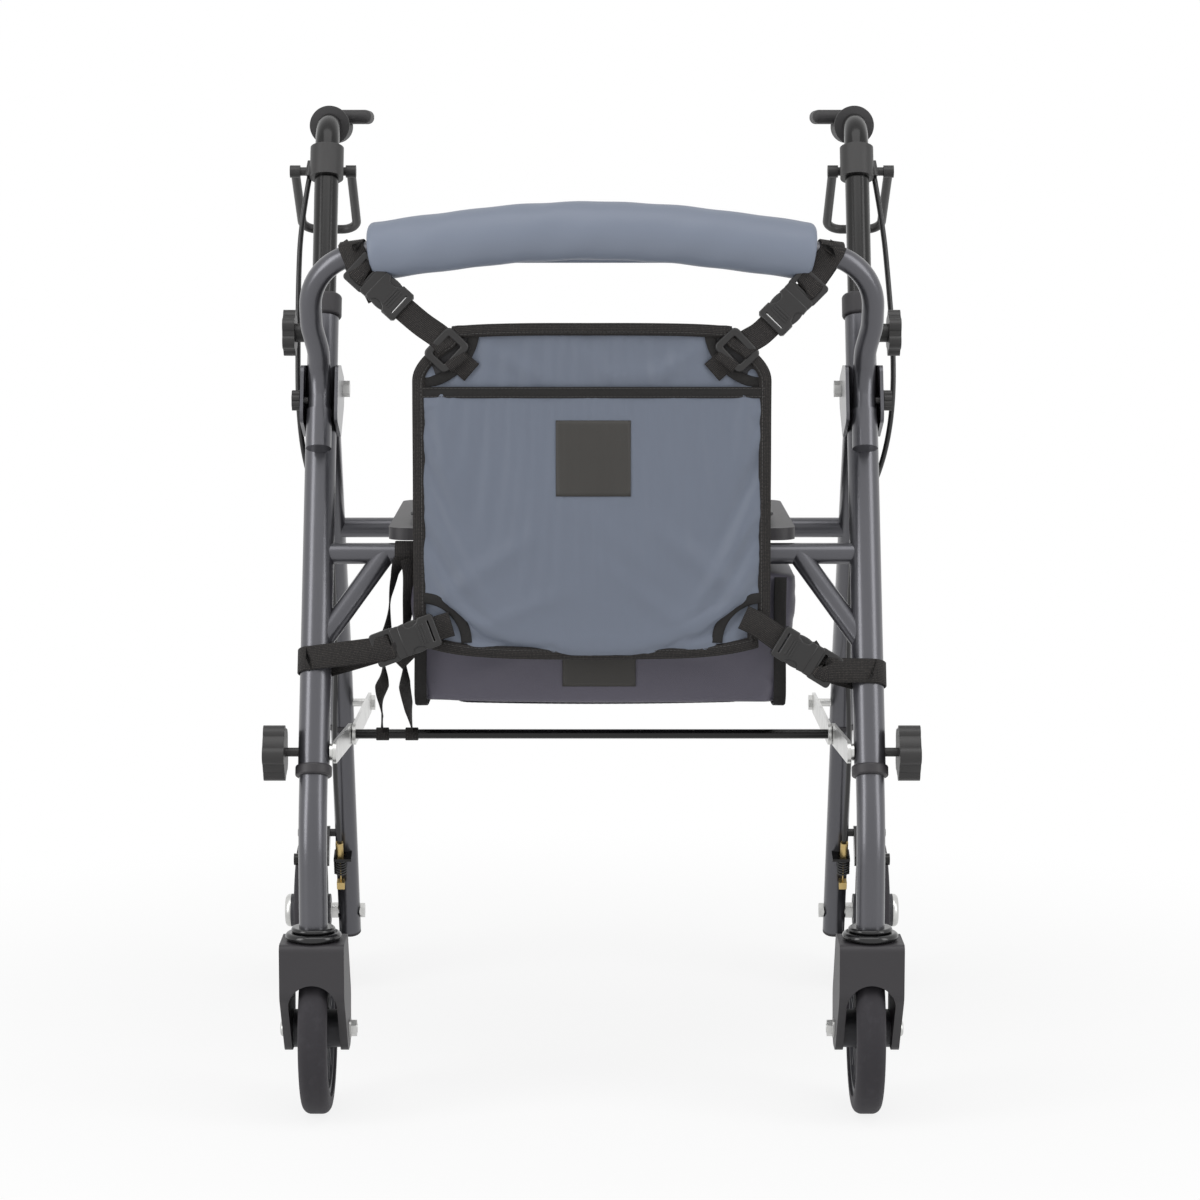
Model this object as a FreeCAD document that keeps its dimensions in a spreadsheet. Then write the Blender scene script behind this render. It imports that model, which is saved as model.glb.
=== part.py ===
import FreeCAD, Part
import math
import os
import re
import types

from FreeCAD import Placement, Rotation, Vector

# A folding four-wheeled walker with a seat, in millimetres. +Z is up, the front of the
# walker faces -Y and +X is to the right of that front view. The origin lies on the floor,
# midway between the wheels. Both sides are alike, so most pieces are made at +X and
# mirrored.

SIZES = [
    ("wheel_diameter", 152.4, "all four tyres"),
    ("tyre_width", 25.4, "all four tyres"),
    ("tyre_crown", 8, "rounding of the tread's edges"),
    ("rim_diameter", 122, "hub rim, which is the tyre's bore"),
    ("rim_wall", 7, "radial depth of the hub rim"),
    ("rim_width", 21, "hub rim along the axle"),
    ("web_width", 8, "disc between rim and boss"),
    ("web_hole_diameter", 24, "five round holes in the disc"),
    ("boss_diameter", 34, "hub boss"),
    ("wheelbase", 504, "front axle to rear axle"),
    ("front_track", 491, "between the middles of the front tyres, and of the front tubes"),
    ("rear_track", 583, "between the middles of the rear tyres"),
    ("axle_diameter", 8, "bolts that the wheels turn on"),
    ("running_clearance", 0.05, "radial, between a pin and its bore"),
    ("air_gap", 0.3, "between pieces that move past each other"),
    ("stem_trail", 40, "caster stem ahead of the front axle"),
    ("stem_diameter", 12, "caster stem"),
    ("stem_length", 30, "caster stem above the fork"),
    ("fork_width", 57, "over the fork's legs"),
    ("fork_leg", 7, "thickness of a fork leg"),
    ("fork_top_height", 166, "top face of the fork"),
    ("fork_crown", 8, "thickness of the fork's top"),
    ("fork_reach", 26, "fork ahead of and behind the stem"),
    ("fork_boss_diameter", 34, "lower end of a fork leg"),
    ("fork_arch_height", 130, "top of the arch in the fork's front"),
    ("race_diameter", 49.5, "lower ring of the caster bearing"),
    ("race_height", 7, "lower ring"),
    ("race_cap_diameter", 39, "upper ring of the caster bearing"),
    ("race_cap_height", 4.5, "upper ring"),
    ("leg_lean", 22.5, "front tubes from upright, degrees"),
    ("leg_bend_height", 265, "where the upright stem meets the leaning tube"),
    ("leg_bend_radius", 150, "bend of the front lower leg"),
    ("leg_top_height", 430, "top of the front lower leg, inside the main tube"),
    ("leg_diameter", 25.2, "front lower leg, and the bore of the main tube"),
    ("leg_wall", 1.6, "front lower leg"),
    ("main_tube_diameter", 28, "front main tube"),
    ("main_tube_foot", 312, "height of its lower end"),
    ("main_tube_length", 425.5, "along the lean"),
    ("collar_diameter", 32.5, "plastic end collar of the front main tube"),
    ("collar_length", 10, "end collar"),
    ("collar_lip", 4, "end collar below the tube's end"),
    ("handle_collar_diameter", 33, "plastic collar that guides the handle tube"),
    ("handle_collar_length", 22, "above the main tube's top"),
    ("handle_sleeve_length", 60, "inside the main tube"),
    ("handle_tube_diameter", 22.2, "black handle tube"),
    ("handle_tube_wall", 1.6, "black handle tube"),
    ("handle_inset", 120, "handle tube inside the main tube"),
    ("grip_height", 881, "middle of the grip"),
    ("handle_bend_radius", 32, "bend of the handle tube"),
    ("handle_end", 80, "rear end of the handle tube, along Y"),
    ("grip_diameter", 31, "hand grip"),
    ("grip_length", 104, "hand grip"),
    ("grip_front", -15, "front end of the grip, along Y"),
    ("flange_diameter", 37, "front flange of the grip"),
    ("flange_length", 6, "front flange of the grip"),
    ("wing_reach", 36, "palm rest, inward from the grip's middle"),
    ("wing_length", 58, "palm rest, along the grip"),
    ("wing_height", 13, "palm rest"),
    ("housing_diameter", 31, "brake housing round the handle tube"),
    ("housing_length", 30, "brake housing"),
    ("housing_drop", 35, "brake housing's middle below the grip"),
    ("lever_offset", 20, "lever pivot behind the handle tube's middle"),
    ("lever_pin_diameter", 8, "lever pivot"),
    ("lever_diameter", 8.5, "brake lever loop"),
    ("lever_outer", 31, "outer arm of the loop from the grip's middle"),
    ("lever_inner", 21, "inner arm of the loop from the grip's middle"),
    ("lever_reach", 84, "pivot to the loop's rear, along Y"),
    ("lever_drop", 55, "pivot to the loop's rear, down"),
    ("lever_corner", 15, "corner radius of the loop"),
    ("knob_diameter", 51, "large leg knob"),
    ("knob_thickness", 19, "large leg knob"),
    ("knob_height", 329, "large leg knob and fold link pivot"),
    ("knob_standoff", 11, "knob from the main tube's side"),
    ("stud_diameter", 8, "studs and pivot bolts"),
    ("handle_knob_diameter", 42, "handle clamp knob"),
    ("handle_knob_thickness", 11, "handle clamp knob"),
    ("handle_knob_height", 692, "handle clamp knob"),
    ("handle_knob_neck", 17, "neck diameter of the handle clamp knob"),
    ("back_knob_diameter", 19, "backrest clamp knob"),
    ("back_knob_thickness", 7, "backrest clamp knob"),
    ("back_knob_height", 624, "on the main tube's axis, level with the knob"),
    ("back_stud_diameter", 6, "backrest clamp knob"),
    ("hoop_diameter", 20, "backrest hoop"),
    ("hoop_offset", 25, "hoop ahead of the main tube, axis to axis"),
    ("hoop_foot_height", 582, "on the main tube's axis, level with the hoop's end"),
    ("hoop_kink_height", 641, "on the main tube's axis, level with the hoop's kink"),
    ("socket_diameter", 23, "backrest socket"),
    ("socket_length", 36, "backrest socket"),
    ("hoop_half_width", 251, "hoop's upright stretch from the middle"),
    ("hoop_corner_height", 760, "where the hoop turns inward"),
    ("hoop_corner_front", -207, "where the hoop turns inward, along Y"),
    ("hoop_corner_radius", 55, "hoop's corners"),
    ("hoop_arch", 35, "hoop's middle above its corners"),
    ("hoop_bow", 40, "hoop's middle ahead of its corners"),
    ("hoop_arch_radius", 560, "bend in the hoop's middle"),
    ("pad_diameter", 50, "foam pad on the hoop"),
    ("pad_half_width", 194, "foam pad"),
    ("pad_rounding", 9, "ends of the foam pad"),
    ("cheek_thickness", 3, "hinge bracket plates"),
    ("cheek_drop", 12, "middle of the hinge bracket below the pivot"),
    ("cheek_front", 34, "hinge bracket ahead of the main tube's axis"),
    ("cheek_half_length", 26, "hinge bracket along the main tube, from its middle"),
    ("cheek_top", 38, "hinge bracket's peak above its middle"),
    ("cheek_margin", 13, "hinge bracket beyond the pivot"),
    ("hinge_back", -102, "rear frame's pivot, along Y"),
    ("hinge_height", 640, "rear frame's pivot"),
    ("rear_tube_diameter", 25.4, "rear upper tube"),
    ("rear_tube_wall", 1.4, "rear upper tube"),
    ("rear_tube_top", 9, "rear upper tube beyond its pivot"),
    ("rear_plug", 3, "plug in the rear upper tube's top"),
    ("rear_knee_back", 138, "bend of the rear leg, along Y"),
    ("rear_knee_height", 354, "bend of the rear leg"),
    ("rear_knee_radius", 110, "bend of the rear leg"),
    ("rear_splay", 6.5, "rear leg's foot outward of its pivot"),
    ("rear_step_height", 288, "lower end of the rear upper tube"),
    ("rear_leg_diameter", 22.6, "rear lower leg"),
    ("rear_leg_wall", 1.6, "rear lower leg"),
    ("rear_leg_foot", 55, "lower end of the rear lower leg"),
    ("crossbar_diameter", 19, "front and rear crossbars and gussets"),
    ("front_crossbar_height", 498, "front crossbar"),
    ("rear_crossbar_height", 500, "rear crossbar"),
    ("gusset_start", 185, "gusset on the crossbar, from the middle"),
    ("gusset_foot_height", 416, "gusset on the main tube"),
    ("pan_width", 366, "seat pan"),
    ("pan_depth", 275, "seat pan"),
    ("pan_thickness", 11, "seat pan"),
    ("pan_height", 510, "underside of the seat pan"),
    ("pan_rounding", 18, "corners of the seat pan"),
    ("clip_length", 24, "seat hinge clips on the front crossbar"),
    ("clip_wall", 3, "seat hinge clips"),
    ("clip_spread", 250, "between the seat hinge clips"),
    ("cushion_width", 328, "seat cushion"),
    ("cushion_depth", 238, "seat cushion"),
    ("cushion_setback", 30, "cushion behind the pan's front edge"),
    ("cushion_height", 28, "seat cushion at its crown"),
    ("cushion_rounding", 10, "drawn-in sides of the seat cushion"),
    ("cushion_crown", 950, "radius of the cushion's crown"),
    ("link_width", 20, "fold link plates"),
    ("link_thickness", 3, "fold link plates"),
    ("rod_diameter", 9, "fold rod between the links"),
    ("rod_back", -72, "fold rod, along Y"),
    ("rod_height", 314, "fold rod"),
    ("rear_link_height", 309, "pivot of the rear link on the rear leg"),
    ("brake_pivot_height", 165, "brake arm's pivot, on the rear leg"),
    ("brake_gap", 2, "brake shoe from the tread"),
    ("shoe_diameter", 12, "brake shoe"),
    ("shoe_angle", 50, "brake shoe round the wheel from level, degrees"),
    ("arm_thickness", 4, "brake arm plate"),
    ("arm_width", 14, "brake arm plate"),
    ("fitting_offset", 18.5, "brake cable's end ahead of the rear leg's axis"),
    ("fitting_side", 6, "brake cable's end outward of the rear leg's axis"),
    ("cable_end_height", 165, "on the rear leg's axis, level with the cable's end"),
    ("barrel_diameter", 8, "cable adjuster"),
    ("barrel_length", 16, "cable adjuster"),
    ("spring_diameter", 13, "brake return spring"),
    ("spring_wire", 2, "brake return spring"),
    ("spring_length", 20, "brake return spring"),
    ("clamp_size", 8, "brass cable clamp"),
    ("cable_diameter", 5, "brake cable"),
    ("inner_wire_diameter", 1.6, "brake cable's inner wire"),
    ("tote_left", -155, "front tote panel"),
    ("tote_right", 160, "front tote panel"),
    ("tote_bottom", 411, "front tote panel"),
    ("tote_top", 704, "front tote panel"),
    ("tote_front", -246, "front tote panel, along Y"),
    ("tote_thickness", 6, "back sheet of the tote"),
    ("pocket_thickness", 7, "pocket on the tote"),
    ("pocket_top", 672, "pocket on the tote"),
    ("tote_chamfer", 30, "upper corners of the tote"),
    ("strap_width", 22, "webbing straps of the tote"),
    ("strap_thickness", 1.8, "webbing"),
    ("left_strap_height", 405, "strap round the left main tube"),
    ("right_strap_height", 394, "strap round the right main tube"),
    ("buckle_length", 44, "strap buckle"),
    ("buckle_width", 30, "strap buckle"),
    ("buckle_thickness", 9, "strap buckle"),
    ("bag_left", -155, "bag under the seat"),
    ("bag_right", 172, "bag under the seat"),
    ("bag_bottom", 361, "bag under the seat"),
    ("bag_front", -208, "bag under the seat, along Y"),
    ("bag_depth", 196, "bag under the seat"),
    ("bag_rounding", 16, "bag under the seat"),
    ("bag_loop_width", 40, "loops that hang the bag from the front crossbar"),
    ("pull_strap_width", 16, "strap that lifts the fold rod"),
    ("pull_strap_start", -166, "strap on the front crossbar, along X"),
    ("pull_strap_spread", 28, "between the strap's two legs"),
    ("pull_strap_middle", -183, "middle of the strap's legs on the rod, along X"),
]

ALIASES = {alias for alias, value, note in SIZES}
UP = Vector(0, 0, 1)
OUT = Vector(1, 0, 0)
BACK = Vector(0, 1, 0)

doc = FreeCAD.newDocument("Walker")
sheet = doc.addObject("Spreadsheet::Sheet", "Sizes")
for row, (alias, value, note) in enumerate(SIZES, 1):
    sheet.set("A%d" % row, note)
    sheet.set("B%d" % row, str(value))
    sheet.setAlias("B%d" % row, alias)
doc.recompute()
dim = types.SimpleNamespace(**{alias: float(sheet.get(alias)) for alias in ALIASES})

nodes = []


def linked(text):
    """Turn a formula of size names into one that reads the spreadsheet."""
    return re.sub(r"[a-z_]+", lambda m: "Sizes." + m[0] if m[0] in ALIASES else m[0], text)


def keep(name, item):
    """Name a finished sub-part."""
    item.Label = name
    nodes.append(item)
    return item


def rod(name, diameter, length, start, direction=UP):
    """A round bar from start along direction; diameter and length are formulas."""
    item = doc.addObject("Part::Cylinder", name)
    item.setExpression("Radius", linked("(%s) / 2" % diameter))
    item.setExpression("Height", linked(length))
    item.Placement = Placement(start, Rotation(UP, direction))
    return item


def block(name, sides, corner, turn=Rotation()):
    """A box from corner; sides are three formulas."""
    item = doc.addObject("Part::Box", name)
    for side, formula in zip(("Length", "Width", "Height"), sides):
        item.setExpression(side, linked(formula))
    item.Placement = Placement(corner, turn)
    return item


def ring(name, diameter, thickness, centre):
    """A level ring of round section."""
    item = doc.addObject("Part::Torus", name)
    item.setExpression("Radius1", linked("(%s - %s) / 2" % (diameter, thickness)))
    item.setExpression("Radius2", linked("(%s) / 2" % thickness))
    item.Placement = Placement(centre, Rotation())
    return item


def joined(name, items):
    item = doc.addObject("Part::MultiFuse", name)
    item.Shapes = items
    return item


def grouped(name, items):
    """Separate solids under one name."""
    item = doc.addObject("Part::Compound", name)
    item.Links = items
    return item


def cut(name, base, tools):
    """base less each of the tools."""
    tool = tools[0] if len(tools) == 1 else joined(name + "_tools", tools)
    item = doc.addObject("Part::Cut", name)
    item.Base = base
    item.Tool = tool
    return item


def mirrored(name, item):
    other = doc.addObject("Part::Mirroring", name)
    other.Source = item
    other.Normal = OUT
    return other


def pair(name, item):
    """The item at +X and its mirror image, under one name."""
    return grouped(name, [item, mirrored(name + "_mirror", item)])


def keep_sides(name, item):
    """The item and its mirror image as two sub-parts."""
    keep(name + "_right", item)
    keep(name + "_left", mirrored(name + "_mirror", item))


def rounded(name, base, radius, chosen):
    """Round the edges of base that chosen accepts."""
    doc.recompute()
    item = doc.addObject("Part::Fillet", name)
    item.Base = base
    item.Edges = [
        (number, radius, radius)
        for number, edge in enumerate(base.Shape.Edges, 1)
        if chosen(edge)
    ]
    return item


def padded(name, outline, width, middle, direction="YZ_Plane"):
    """A body padded evenly to both sides of middle from an outline of points and arcs.

    A corner of the outline is (point) or (point, radius); the points lie in the plane.
    """
    body = doc.addObject("PartDesign::Body", name)
    sketch = body.newObject("Sketcher::SketchObject", name + "_sketch")
    plane = next(f for f in body.Origin.OriginFeatures if f.Role == direction)
    sketch.AttachmentSupport = (plane, [""])
    sketch.MapMode = "FlatFace"
    corners = [corner if isinstance(corner[0], tuple) else (corner, 0) for corner in outline]
    for edge in closed_outline(corners):
        sketch.addGeometry(edge)
    pad = body.newObject("PartDesign::Pad", name + "_pad")
    pad.Profile = sketch
    pad.setExpression("Length", linked(width))
    pad.SideType = "Symmetric"
    body.Placement = Placement(middle, Rotation())
    return body


def closed_outline(corners):
    """Lines and tangent arcs through corners of (point, radius)."""
    count = len(corners)
    ends = []
    for index, (point, radius) in enumerate(corners):
        here = Vector(point[0], point[1], 0)
        before = Vector(*corners[index - 1][0], 0)
        after = Vector(*corners[(index + 1) % count][0], 0)
        ends.append(corner_arc(before, here, after, radius))
    edges = []
    for index, (start, middle, end) in enumerate(ends):
        if middle:
            edges.append(Part.ArcOfCircle(start, middle, end))
        following = ends[(index + 1) % count][0]
        if end.distanceToPoint(following) > 1e-6:
            edges.append(Part.LineSegment(end, following))
    return edges


def corner_arc(before, here, after, radius):
    """Start, middle and end of the arc that rounds a corner."""
    if not radius:
        return here, None, here
    first = (before - here).normalize()
    second = (after - here).normalize()
    half = first.getAngle(second) / 2
    reach = radius / math.tan(half)
    bisector = (first + second).normalize()
    middle = here + bisector * (radius / math.sin(half) - radius)
    return here + first * reach, middle, here + second * reach


def bent_path(points, radii):
    """A wire of straight runs joined by tangent arcs; radii has one for each inner point."""
    edges = []
    start = points[0]
    for before, here, after, radius in zip(points, points[1:], points[2:], radii):
        first, middle, last = corner_arc(before, here, after, radius)
        edges.append(Part.LineSegment(start, first).toShape())
        edges.append(Part.Arc(first, middle, last).toShape())
        start = last
    edges.append(Part.LineSegment(start, points[-1]).toShape())
    return Part.Wire(edges)


def bent_rod(name, diameter, points, radii):
    """A round bar along a bent path."""
    path = doc.addObject("Part::Feature", name + "_path")
    path.Shape = bent_path(points, radii)
    section = doc.addObject("Part::Circle", name + "_section")
    section.setExpression("Radius", linked("(%s) / 2" % diameter))
    section.Placement = Placement(points[0], Rotation(UP, points[1] - points[0]))
    item = doc.addObject("Part::Sweep", name)
    item.Sections = [section]
    item.Spine = (path, [])
    item.Solid = True
    return item


def bent_tube(name, diameter, wall, points, radii):
    """A tube along a bent path, and its outside as a solid."""
    outside = bent_rod(name + "_outside", diameter, points, radii)
    inside = bent_rod(name + "_inside", "%s - 2 * %s" % (diameter, wall), points, radii)
    return cut(name, outside, [inside]), outside


def smooth_radii(points):
    """Radius of each arc of a cord: as large as its two runs allow."""
    radii = []
    for before, here, after in zip(points, points[1:], points[2:]):
        turn = (here - before).getAngle(after - here)
        shorter = min((here - before).Length, (after - here).Length)
        radii.append(0.45 * shorter / math.tan(turn / 2))
    return radii


def on_leg(height, forward=0.0, side=None):
    """Point on the leaning front tube's axis, moved square to it towards the front."""
    lean = math.radians(dim.leg_lean)
    back = stem_back + (height - dim.leg_bend_height) * math.tan(lean)
    point = Vector(leg_side if side is None else side, back, height)
    return point + Vector(0, -math.cos(lean), math.sin(lean)) * forward


def along_leg():
    lean = math.radians(dim.leg_lean)
    return Vector(0, math.sin(lean), math.cos(lean))


def on_rear_leg(height, forward=0.0):
    """Point on the rear leg's lower stretch, moved square to it towards the front."""
    fall = knee - rear_hub_on_leg
    point = rear_hub_on_leg + fall * ((height - rear_hub_on_leg.z) / fall.z)
    return point + down_rear_leg().cross(OUT) * forward


def down_rear_leg():
    return (rear_hub_on_leg - knee).normalize()


leg_side = dim.front_track / 2
wheel_radius = dim.wheel_diameter / 2
front_back = -dim.wheelbase / 2
stem_back = front_back - dim.stem_trail
front_hub = Vector(leg_side, front_back, wheel_radius)
rear_hub = Vector(dim.rear_track / 2, dim.wheelbase / 2, wheel_radius)
hinge = Vector(leg_side, dim.hinge_back, dim.hinge_height)
rear_leg_side = leg_side + dim.rear_splay
knee = Vector(rear_leg_side, dim.rear_knee_back, dim.rear_knee_height)
rear_hub_on_leg = Vector(rear_leg_side, rear_hub.y, rear_hub.z)
race_bottom = dim.fork_top_height + dim.air_gap
leg_bottom = race_bottom + dim.race_height + dim.race_cap_height


def wheel(name, centre, boss_width):
    """A tyre on a hub with a rim, a holed disc and a boss."""
    def across(width):
        return centre - OUT * (width / 2)

    tread = rod(name + "_tread", "wheel_diameter", "tyre_width", across(dim.tyre_width), OUT)
    crowned = rounded(name + "_crowned", tread, dim.tyre_crown, lambda edge: edge.Closed)
    bore = rod(name + "_bore", "rim_diameter", "tyre_width", across(dim.tyre_width), OUT)
    keep("tyre_" + name, cut(name + "_tyre", crowned, [bore]))

    rim = rod(name + "_rim", "rim_diameter", "rim_width", across(dim.rim_width), OUT)
    hollow = rod(
        name + "_hollow", "rim_diameter - 2 * rim_wall", "rim_width",
        across(dim.rim_width), OUT)
    web = rod(
        name + "_web", "rim_diameter - rim_wall", "web_width", across(dim.web_width), OUT)
    middle_radius = (dim.rim_diameter / 2 - dim.rim_wall + dim.boss_diameter / 2) / 2
    holes = []
    for step in range(5):
        angle = math.radians(72 * step + 90)
        centre_of_hole = across(dim.web_width) + Vector(
            0, middle_radius * math.cos(angle), middle_radius * math.sin(angle))
        holes.append(rod(
            "%s_hole_%d" % (name, step), "web_hole_diameter", "web_width",
            centre_of_hole, OUT))
    boss = rod(name + "_boss", "boss_diameter", str(boss_width), across(boss_width), OUT)
    spindle = rod(
        name + "_spindle", "axle_diameter + 2 * running_clearance", str(boss_width),
        across(boss_width), OUT)
    holed = cut(name + "_holed", web, holes)
    rim_ring = cut(name + "_rim_ring", rim, [hollow])
    solid = joined(name + "_solid", [rim_ring, holed, boss])
    keep("hub_" + name, cut(name + "_hub", solid, [spindle]))


def casters():
    """Fork, stem, axle bolt and bearing rings of the front wheels."""
    reach = dim.fork_reach
    boss = dim.fork_boss_diameter / 2
    top = dim.fork_top_height
    outline = [
        ((stem_back - reach, top), 6), ((stem_back + reach, top), 6),
        ((front_back + boss + 4, wheel_radius + 30), 20),
        ((front_back + boss, wheel_radius - boss), boss * 0.9),
        ((front_back - boss, wheel_radius - boss), boss * 0.9),
        ((stem_back - reach, dim.fork_arch_height - 12), 14),
    ]
    sides = padded("fork_sides", outline, "fork_width", Vector(leg_side, 0, 0))
    slot_half = dim.fork_width / 2 - dim.fork_leg
    slot_front = stem_back - reach + dim.fork_leg
    slot = block(
        "fork_slot",
        ("fork_width - 2 * fork_leg", "wheel_diameter", "fork_top_height - fork_crown"),
        Vector(leg_side - slot_half, slot_front, 0))
    arch = rod(
        "fork_arch", "fork_width - 2 * fork_leg", "2 * fork_reach",
        Vector(leg_side, stem_back - 2 * reach, dim.fork_arch_height - slot_half), BACK)
    mouth = block(
        "fork_mouth",
        ("fork_width - 2 * fork_leg", "2 * fork_reach",
         "fork_arch_height - (fork_width - 2 * fork_leg) / 2"),
        Vector(leg_side - slot_half, stem_back - 2 * reach, 0))
    bolt_hole = rod(
        "fork_hole", "axle_diameter", "fork_width",
        front_hub - OUT * (dim.fork_width / 2), OUT)
    shell = cut("fork_shell", sides, [slot, arch, mouth, bolt_hole])
    stem = rod(
        "fork_stem", "stem_diameter", "stem_length + fork_crown",
        Vector(leg_side, stem_back, top - dim.fork_crown))
    keep_sides("caster_fork", joined("fork", [shell, stem]))

    outer = front_hub + OUT * (dim.fork_width / 2)
    inner = front_hub - OUT * (dim.fork_width / 2)
    bolt = rod("front_bolt", "axle_diameter", "fork_width + 7", inner - OUT * 7, OUT)
    head = rod("front_head", "15", "5", outer, OUT)
    dome = rounded("front_dome", head, 3, lambda edge: edge.CenterOfMass.x > outer.x + 4)
    washer = rod("front_washer", "17", "1.5", inner, OUT * -1)
    nut = hexagon("front_nut", 13, 5, inner - OUT * 1.5, OUT * -1)
    keep_sides("caster_axle", joined("front_axle", [bolt, dome, washer, nut]))

    foot = Vector(leg_side, stem_back, race_bottom)
    shelf = foot + UP * dim.race_height
    lower_ring = ring("race_ring", "race_diameter", "race_height",
                      foot + UP * (dim.race_height / 2))
    lower_disc = rod("race_disc", "race_diameter - race_height", "race_height", foot)
    upper_ring = ring("race_cap_ring", "race_cap_diameter", "race_cap_height",
                      shelf + UP * (dim.race_cap_height / 2))
    upper_disc = rod("race_cap_disc", "race_cap_diameter - race_cap_height",
                     "race_cap_height", shelf)
    plug = rod("race_plug", "leg_diameter - 2 * leg_wall", "stem_length",
               shelf + UP * dim.race_cap_height)
    bore = rod("race_bore", "stem_diameter + 2 * running_clearance",
               "stem_length + race_height + race_cap_height", foot)
    body = joined("race_body", [lower_ring, lower_disc, upper_ring, upper_disc, plug])
    keep("caster_bearings", pair("races", cut("race", body, [bore])))


def hexagon(name, across_flats, height, start, direction):
    """A six-sided nut or bolt head."""
    item = doc.addObject("Part::Prism", name)
    item.Polygon = 6
    item.Circumradius = across_flats / math.sqrt(3)
    item.Height = height
    item.Placement = Placement(start, Rotation(UP, direction))
    return item


def front_tubes():
    """Main tubes, lower legs, their collars, the crossbar and its gussets."""
    foot = on_leg(dim.main_tube_foot)
    lean = along_leg()
    outside = rod("main_outside", "main_tube_diameter", "main_tube_length", foot, lean)
    inside = rod("main_inside", "leg_diameter", "main_tube_length", foot, lean)
    knob_hole = rod("main_knob_hole", "stud_diameter + 2 * running_clearance",
                    "main_tube_diameter", on_leg(dim.knob_height), OUT)
    clamp_hole = rod("main_clamp_hole", "stud_diameter + 2 * running_clearance",
                     "main_tube_diameter", on_leg(dim.handle_knob_height), OUT)
    tube = cut("main_tube", outside, [inside, knob_hole, clamp_hole])
    keep("main_tubes", pair("main_tube_pair", tube))

    leg_points = [
        Vector(leg_side, stem_back, leg_bottom),
        Vector(leg_side, stem_back, dim.leg_bend_height),
        on_leg(dim.leg_top_height),
    ]
    leg, leg_outside = bent_tube(
        "lower_leg", "leg_diameter", "leg_wall", leg_points, [dim.leg_bend_radius])
    leg_hole = rod("leg_knob_hole", "stud_diameter + 2 * running_clearance",
                   "main_tube_diameter", on_leg(dim.knob_height), OUT)
    keep("front_lower_legs", pair("lower_leg_pair", cut("lower_leg_holed", leg, [leg_hole])))

    lip = foot - lean * dim.collar_lip
    collar = rod("collar_outside", "collar_diameter", "collar_length", lip, lean)
    rolled = rounded("collar_rolled", collar, 2, lambda edge: edge.Closed)
    seat = rod("collar_seat", "main_tube_diameter", "collar_length", foot, lean)
    bore = rod("collar_bore", "leg_diameter", "collar_length", lip, lean)
    keep("front_leg_collars", pair("collar_pair", cut("collar", rolled, [seat, bore])))

    top = foot + lean * dim.main_tube_length
    cap = rod("handle_collar_cap", "handle_collar_diameter", "handle_collar_length", top, lean)
    cap_rolled = rounded("handle_collar_rolled", cap, 3, lambda edge: edge.Closed)
    sleeve = rod("handle_sleeve", "leg_diameter", "handle_sleeve_length + 1",
                 top - lean * dim.handle_sleeve_length, lean)
    guide = rod("handle_guide", "handle_tube_diameter + 2 * running_clearance",
                "handle_sleeve_length + handle_collar_length",
                top - lean * dim.handle_sleeve_length, lean)
    sleeve_hole = rod("sleeve_hole", "stud_diameter + 2 * running_clearance",
                      "main_tube_diameter", on_leg(dim.handle_knob_height), OUT)
    guided = cut("handle_collar", joined("handle_collar_body", [cap_rolled, sleeve]),
                 [guide, sleeve_hole])
    keep("handle_collars", pair("handle_collar_pair", guided))

    bar_start = on_leg(dim.front_crossbar_height, side=-leg_side)
    bar = rod("front_bar", "crossbar_diameter", "front_track", bar_start, OUT)
    gusset_top = on_leg(dim.front_crossbar_height, side=dim.gusset_start)
    gusset = bent_rod("gusset", "crossbar_diameter",
                      [gusset_top, on_leg(dim.gusset_foot_height)], [])
    outside_mirror = mirrored("main_outside_mirror", outside)
    whole = joined("front_bar_gusseted", [bar, gusset, mirrored("gusset_mirror", gusset)])
    keep("front_crossbar", cut("front_bar_fitted", whole, [outside, outside_mirror]))
    return outside


def backrest(main_outside):
    """Sockets, hoop and foam pad."""
    lean = along_leg()
    foot = on_leg(dim.hoop_foot_height, dim.hoop_offset)
    holder = rod("socket_outside", "socket_diameter", "socket_length", foot, lean)
    bore = rod("socket_bore", "hoop_diameter", "socket_length", foot, lean)
    keep("backrest_sockets", pair("socket_pair", cut("socket", holder, [bore, main_outside])))

    half = dim.hoop_half_width
    kink = on_leg(dim.hoop_kink_height, dim.hoop_offset)
    corner = Vector(half, dim.hoop_corner_front, dim.hoop_corner_height)
    rise = corner - Vector(leg_side, kink.y, kink.z)
    step_in = Vector(leg_side, kink.y + 0.25 * rise.y, kink.z + 0.25 * rise.z)
    step_out = Vector(half, kink.y + 0.46 * rise.y, kink.z + 0.46 * rise.z)
    middle = Vector(0, dim.hoop_corner_front - dim.hoop_bow,
                    dim.hoop_corner_height + dim.hoop_arch)
    right = [foot, kink, step_in, step_out, corner]
    left = [Vector(-point.x, point.y, point.z) for point in reversed(right)]
    bends = [36, 55, 55, dim.hoop_corner_radius]
    radii = bends + [dim.hoop_arch_radius] + bends[::-1]
    hoop = bent_rod("hoop", "hoop_diameter", right + [middle] + left, radii)
    keep("backrest_hoop", hoop)

    inward = middle - corner
    start = corner + inward * ((half - dim.pad_half_width) / half)
    finish = Vector(-start.x, start.y, start.z)
    foam = bent_rod("pad_foam", "pad_diameter", [start, middle, finish],
                    [dim.hoop_arch_radius])
    soft = rounded("pad_soft", foam, dim.pad_rounding,
                   lambda edge: edge.Closed and abs(edge.CenterOfMass.x) > half / 2)
    core = bent_rod("pad_core", "hoop_diameter", [start, middle, finish],
                    [dim.hoop_arch_radius])
    keep("backrest_pad", cut("pad", soft, [core]))
    return hoop


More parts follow.
